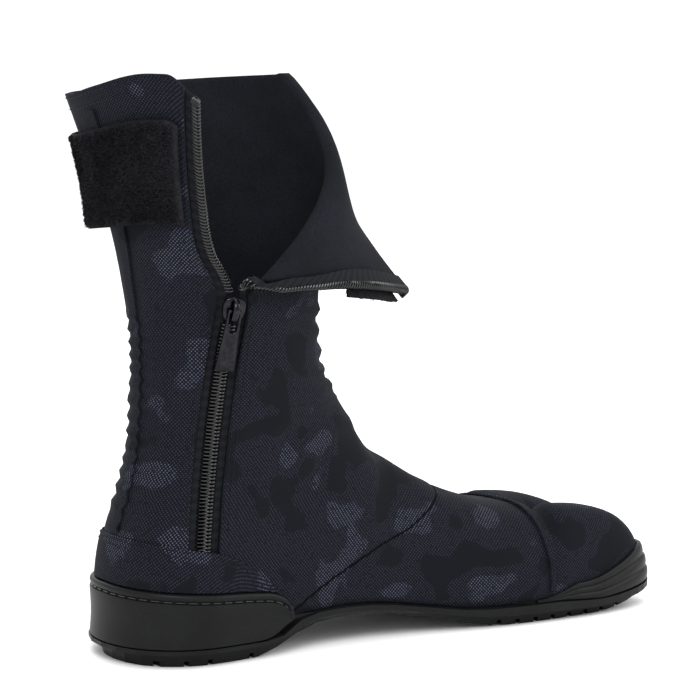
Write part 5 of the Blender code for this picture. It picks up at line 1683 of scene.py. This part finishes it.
def raised_by(lines, name, lift):
    """Stitches that lie on an overlay of a given height above the cloth."""
    paths = []
    for line in lines:
        run = lengths(line)
        for start in np.arange(0.001, run[-1] - 0.003, STITCH_PITCH):
            core = on_line(line, run, start + STITCH_LENGTH * STITCH_STEPS)
            low = on_cloth(core, 0)
            out = on_cloth(core, 1) - low
            offs = lift + 0.0002 * np.array([-1.2, 0.5, 0.8, 0.5, -1.2])
            paths.append(low + out * offs[:, None])
    points, faces = tubes(paths, 0.0002, 5)
    return piece(name, points, faces, finishes()["thread"])


def finish_soles():
    """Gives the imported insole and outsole, which are shown as they are, their finishes."""
    for name, finish in (("insole", "foam"), ("outsole", "rubber")):
        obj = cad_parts[name]
        obj.data.materials.clear()
        obj.data.materials.append(finishes()[finish])


def make_stage():
    """A white floor, soft studio light and the camera at the photograph's angle."""
    looks = bpy.context.scene.tabi_looks
    mesh = bpy.data.meshes.new("studio_floor")
    work = bmesh.new()
    bmesh.ops.create_circle(work, cap_ends=True, radius=12.0, segments=64)
    work.to_mesh(mesh)
    work.free()
    floor = bpy.data.objects.new("studio_floor", mesh)
    bpy.context.scene.collection.objects.link(floor)
    made, _, shader = new_material("matt_white_paper", 0.95, Specular_IOR_Level=0.0)
    shader.inputs["Base Color"].default_value = linear("#f9f9f9")
    floor.data.materials.append(made)
    floor.location.z = -0.0002
    world = bpy.data.worlds.new("studio_white")
    bpy.context.scene.world = world
    world.use_nodes = True
    back = world.node_tree.nodes["Background"]
    back.inputs["Color"].default_value = (1, 1, 1, 1)
    back.inputs["Strength"].default_value = looks.white_room
    for name, spot, size, power in (
        ("soft_box_key", (-0.9, -1.3, 1.5), 1.0, 26.0),
        ("soft_box_fill", (1.3, -1.0, 0.9), 1.2, 12.0),
        ("soft_box_back", (0.4, 1.4, 1.4), 1.2, 14.0),
    ):
        light = bpy.data.objects.new(name, bpy.data.lights.new(name, "AREA"))
        light.data.size = size
        light.data.energy = power * looks.light
        light.location = spot
        light.rotation_euler = (Vector((0.09, 0, 0.1)) - Vector(spot)).to_track_quat("-Z", "Y").to_euler()
        bpy.context.scene.collection.objects.link(light)
    bpy.context.scene.view_settings.view_transform = "Standard"
    cam = bpy.data.objects.new("camera", bpy.data.cameras.new("camera"))
    bpy.context.scene.collection.objects.link(cam)
    bpy.context.scene.camera = cam
    side = math.radians(CAMERA["azimuth"])
    target = Vector(CAMERA["target"])
    away = CAMERA["distance"]
    spot = Vector((target.x - math.sin(side) * away, -math.cos(side) * away, CAMERA["height"]))
    ahead = (target - spot).normalized()
    right = ahead.cross(Vector((0, 0, 1))).normalized()
    roll = math.radians(CAMERA["roll"])
    right = right * math.cos(roll) + right.cross(ahead) * math.sin(roll)
    lift = right.cross(ahead)
    cam.matrix_world = Matrix((right, lift, -ahead)).transposed().to_4x4()
    cam.location = spot
    cam.data.sensor_width = 36.0
    cam.data.lens = CAMERA["lens"]
    cam.data.shift_x, cam.data.shift_y = CAMERA["shift"]
    cam.data.clip_start = 0.01


# The camera: degrees round from the inner side, metres, degrees of roll, millimetres of lens, shares of shift
CAMERA = {
    "azimuth": 36.0,
    "distance": 1.1,
    "height": 0.26274,
    "target": (0.1, 0.0, 0.13),
    "roll": 0.837,
    "lens": 126.29,
    "shift": (-0.03307, -0.00402),
}


class TabiLooks(bpy.types.PropertyGroup):
    """What a user would change about the boot's finish."""

    dot_pitch: FloatProperty(
        name="Dot pitch", description="Spacing of the dots", default=1.17 * MM, unit="LENGTH", precision=5
    )
    plain_cloth: FloatVectorProperty(
        name="Plain patches", description="Cloth without dots", default=srgb("#0e0f14"), subtype="COLOR_GAMMA"
    )
    navy_cloth: FloatVectorProperty(
        name="Ground", description="Cloth between the dots", default=srgb("#0c0d13"), subtype="COLOR_GAMMA"
    )
    faint_dot: FloatVectorProperty(
        name="Faint dots", description="Dots of the middle tone", default=srgb("#2a2c36"), subtype="COLOR_GAMMA"
    )
    bright_dot: FloatVectorProperty(
        name="Bright dots", description="Dots of the light tone", default=srgb("#484c5b"), subtype="COLOR_GAMMA"
    )
    lining: FloatVectorProperty(
        name="Lining", description="Brushed lining", default=srgb("#131418"), subtype="COLOR_GAMMA"
    )
    rubber: FloatVectorProperty(
        name="Rubber", description="Sole, heel cup and guards", default=srgb("#0a0a0b"), subtype="COLOR_GAMMA"
    )
    tape: FloatVectorProperty(
        name="Zip tape", description="Woven tape", default=srgb("#1a1b1f"), subtype="COLOR_GAMMA"
    )
    white_room: FloatProperty(name="Room", description="Strength of the white room", default=1.14, min=0)
    light: FloatProperty(name="Light", description="Share of the soft boxes' power", default=1.0, min=0)


class Step:
    """What the operators share. make builds the pieces, and an error in it stops the operator."""

    bl_options = {"REGISTER"}

    def execute(self, context):
        self.make()
        return {"FINISHED"}


class TABI_OT_stage(Step, bpy.types.Operator):
    """Adds the floor, the light and the camera"""

    bl_idname = "tabi.stage"
    bl_label = "Stage"
    make = staticmethod(make_stage)


class TABI_OT_cloth(Step, bpy.types.Operator):
    """Builds the creased cloth and its lining"""

    bl_idname = "tabi.cloth"
    bl_label = "Cloth upper"
    make = staticmethod(make_cloth)


class TABI_OT_heel(Step, bpy.types.Operator):
    """Builds the heel cup and the counter"""

    bl_idname = "tabi.heel"
    bl_label = "Heel"
    make = staticmethod(make_heel)


class TABI_OT_guards(Step, bpy.types.Operator):
    """Builds the two rubber toe guards"""

    bl_idname = "tabi.guards"
    bl_label = "Toe guards"
    make = staticmethod(make_guards)


class TABI_OT_strips(Step, bpy.types.Operator):
    """Builds the back strip and the toe-cap strip"""

    bl_idname = "tabi.strips"
    bl_label = "Seam strips"
    make = staticmethod(make_strips)


class TABI_OT_tapes(Step, bpy.types.Operator):
    """Builds both zip tapes"""

    bl_idname = "tabi.tapes"
    bl_label = "Zip tapes"
    make = staticmethod(make_tapes)


class TABI_OT_teeth(Step, bpy.types.Operator):
    """Builds the coils of the zip"""

    bl_idname = "tabi.teeth"
    bl_label = "Zip coils"
    make = staticmethod(make_teeth)


class TABI_OT_slider(Step, bpy.types.Operator):
    """Builds the slider and its pull"""

    bl_idname = "tabi.slider"
    bl_label = "Slider"
    make = staticmethod(make_slider)


class TABI_OT_stops(Step, bpy.types.Operator):
    """Builds the two top stops"""

    bl_idname = "tabi.stops"
    bl_label = "Stops"
    make = staticmethod(make_stops)


class TABI_OT_tab(Step, bpy.types.Operator):
    """Builds the closing tab and its patch"""

    bl_idname = "tabi.tab"
    bl_label = "Closing tab"
    make = staticmethod(make_tab)


class TABI_OT_stitches(Step, bpy.types.Operator):
    """Sews all visible seams"""

    bl_idname = "tabi.stitches"
    bl_label = "Stitches"
    make = staticmethod(make_stitches)


class TABI_OT_vamp_seam(Step, bpy.types.Operator):
    """Lays the black tube of painted shade in the groove of the vamp's seam"""

    bl_idname = "tabi.vamp_seam"
    bl_label = "Vamp seam"
    make = staticmethod(make_vamp_seam)


class TABI_OT_soles(Step, bpy.types.Operator):
    """Finishes the outsole and the insole"""

    bl_idname = "tabi.soles"
    bl_label = "Soles"
    make = staticmethod(finish_soles)


OPERATORS = (
    TABI_OT_stage,
    TABI_OT_cloth,
    TABI_OT_heel,
    TABI_OT_guards,
    TABI_OT_strips,
    TABI_OT_tapes,
    TABI_OT_teeth,
    TABI_OT_slider,
    TABI_OT_stops,
    TABI_OT_tab,
    TABI_OT_stitches,
    TABI_OT_vamp_seam,
    TABI_OT_soles,
)


class TABI_PT_panel(bpy.types.Panel):
    """Lists the boot's operators and looks."""

    bl_label = "Jika tabi"
    bl_space_type = "VIEW_3D"
    bl_region_type = "UI"
    bl_category = "Jika tabi"

    def draw(self, context):
        for one in OPERATORS:
            self.layout.operator(one.bl_idname)
        for name in TabiLooks.__annotations__:
            self.layout.prop(context.scene.tabi_looks, name)


CLASSES = (TabiLooks, *OPERATORS, TABI_PT_panel)


def register():
    for one in CLASSES:
        bpy.utils.register_class(one)
    bpy.types.Scene.tabi_looks = PointerProperty(type=TabiLooks)


def unregister():
    del bpy.types.Scene.tabi_looks
    for one in reversed(CLASSES):
        bpy.utils.unregister_class(one)


def main():
    register()
    for one in OPERATORS:
        name = one.bl_idname.split(".")[1]
        getattr(bpy.ops.tabi, name)()


if __name__ == "__main__":
    main()
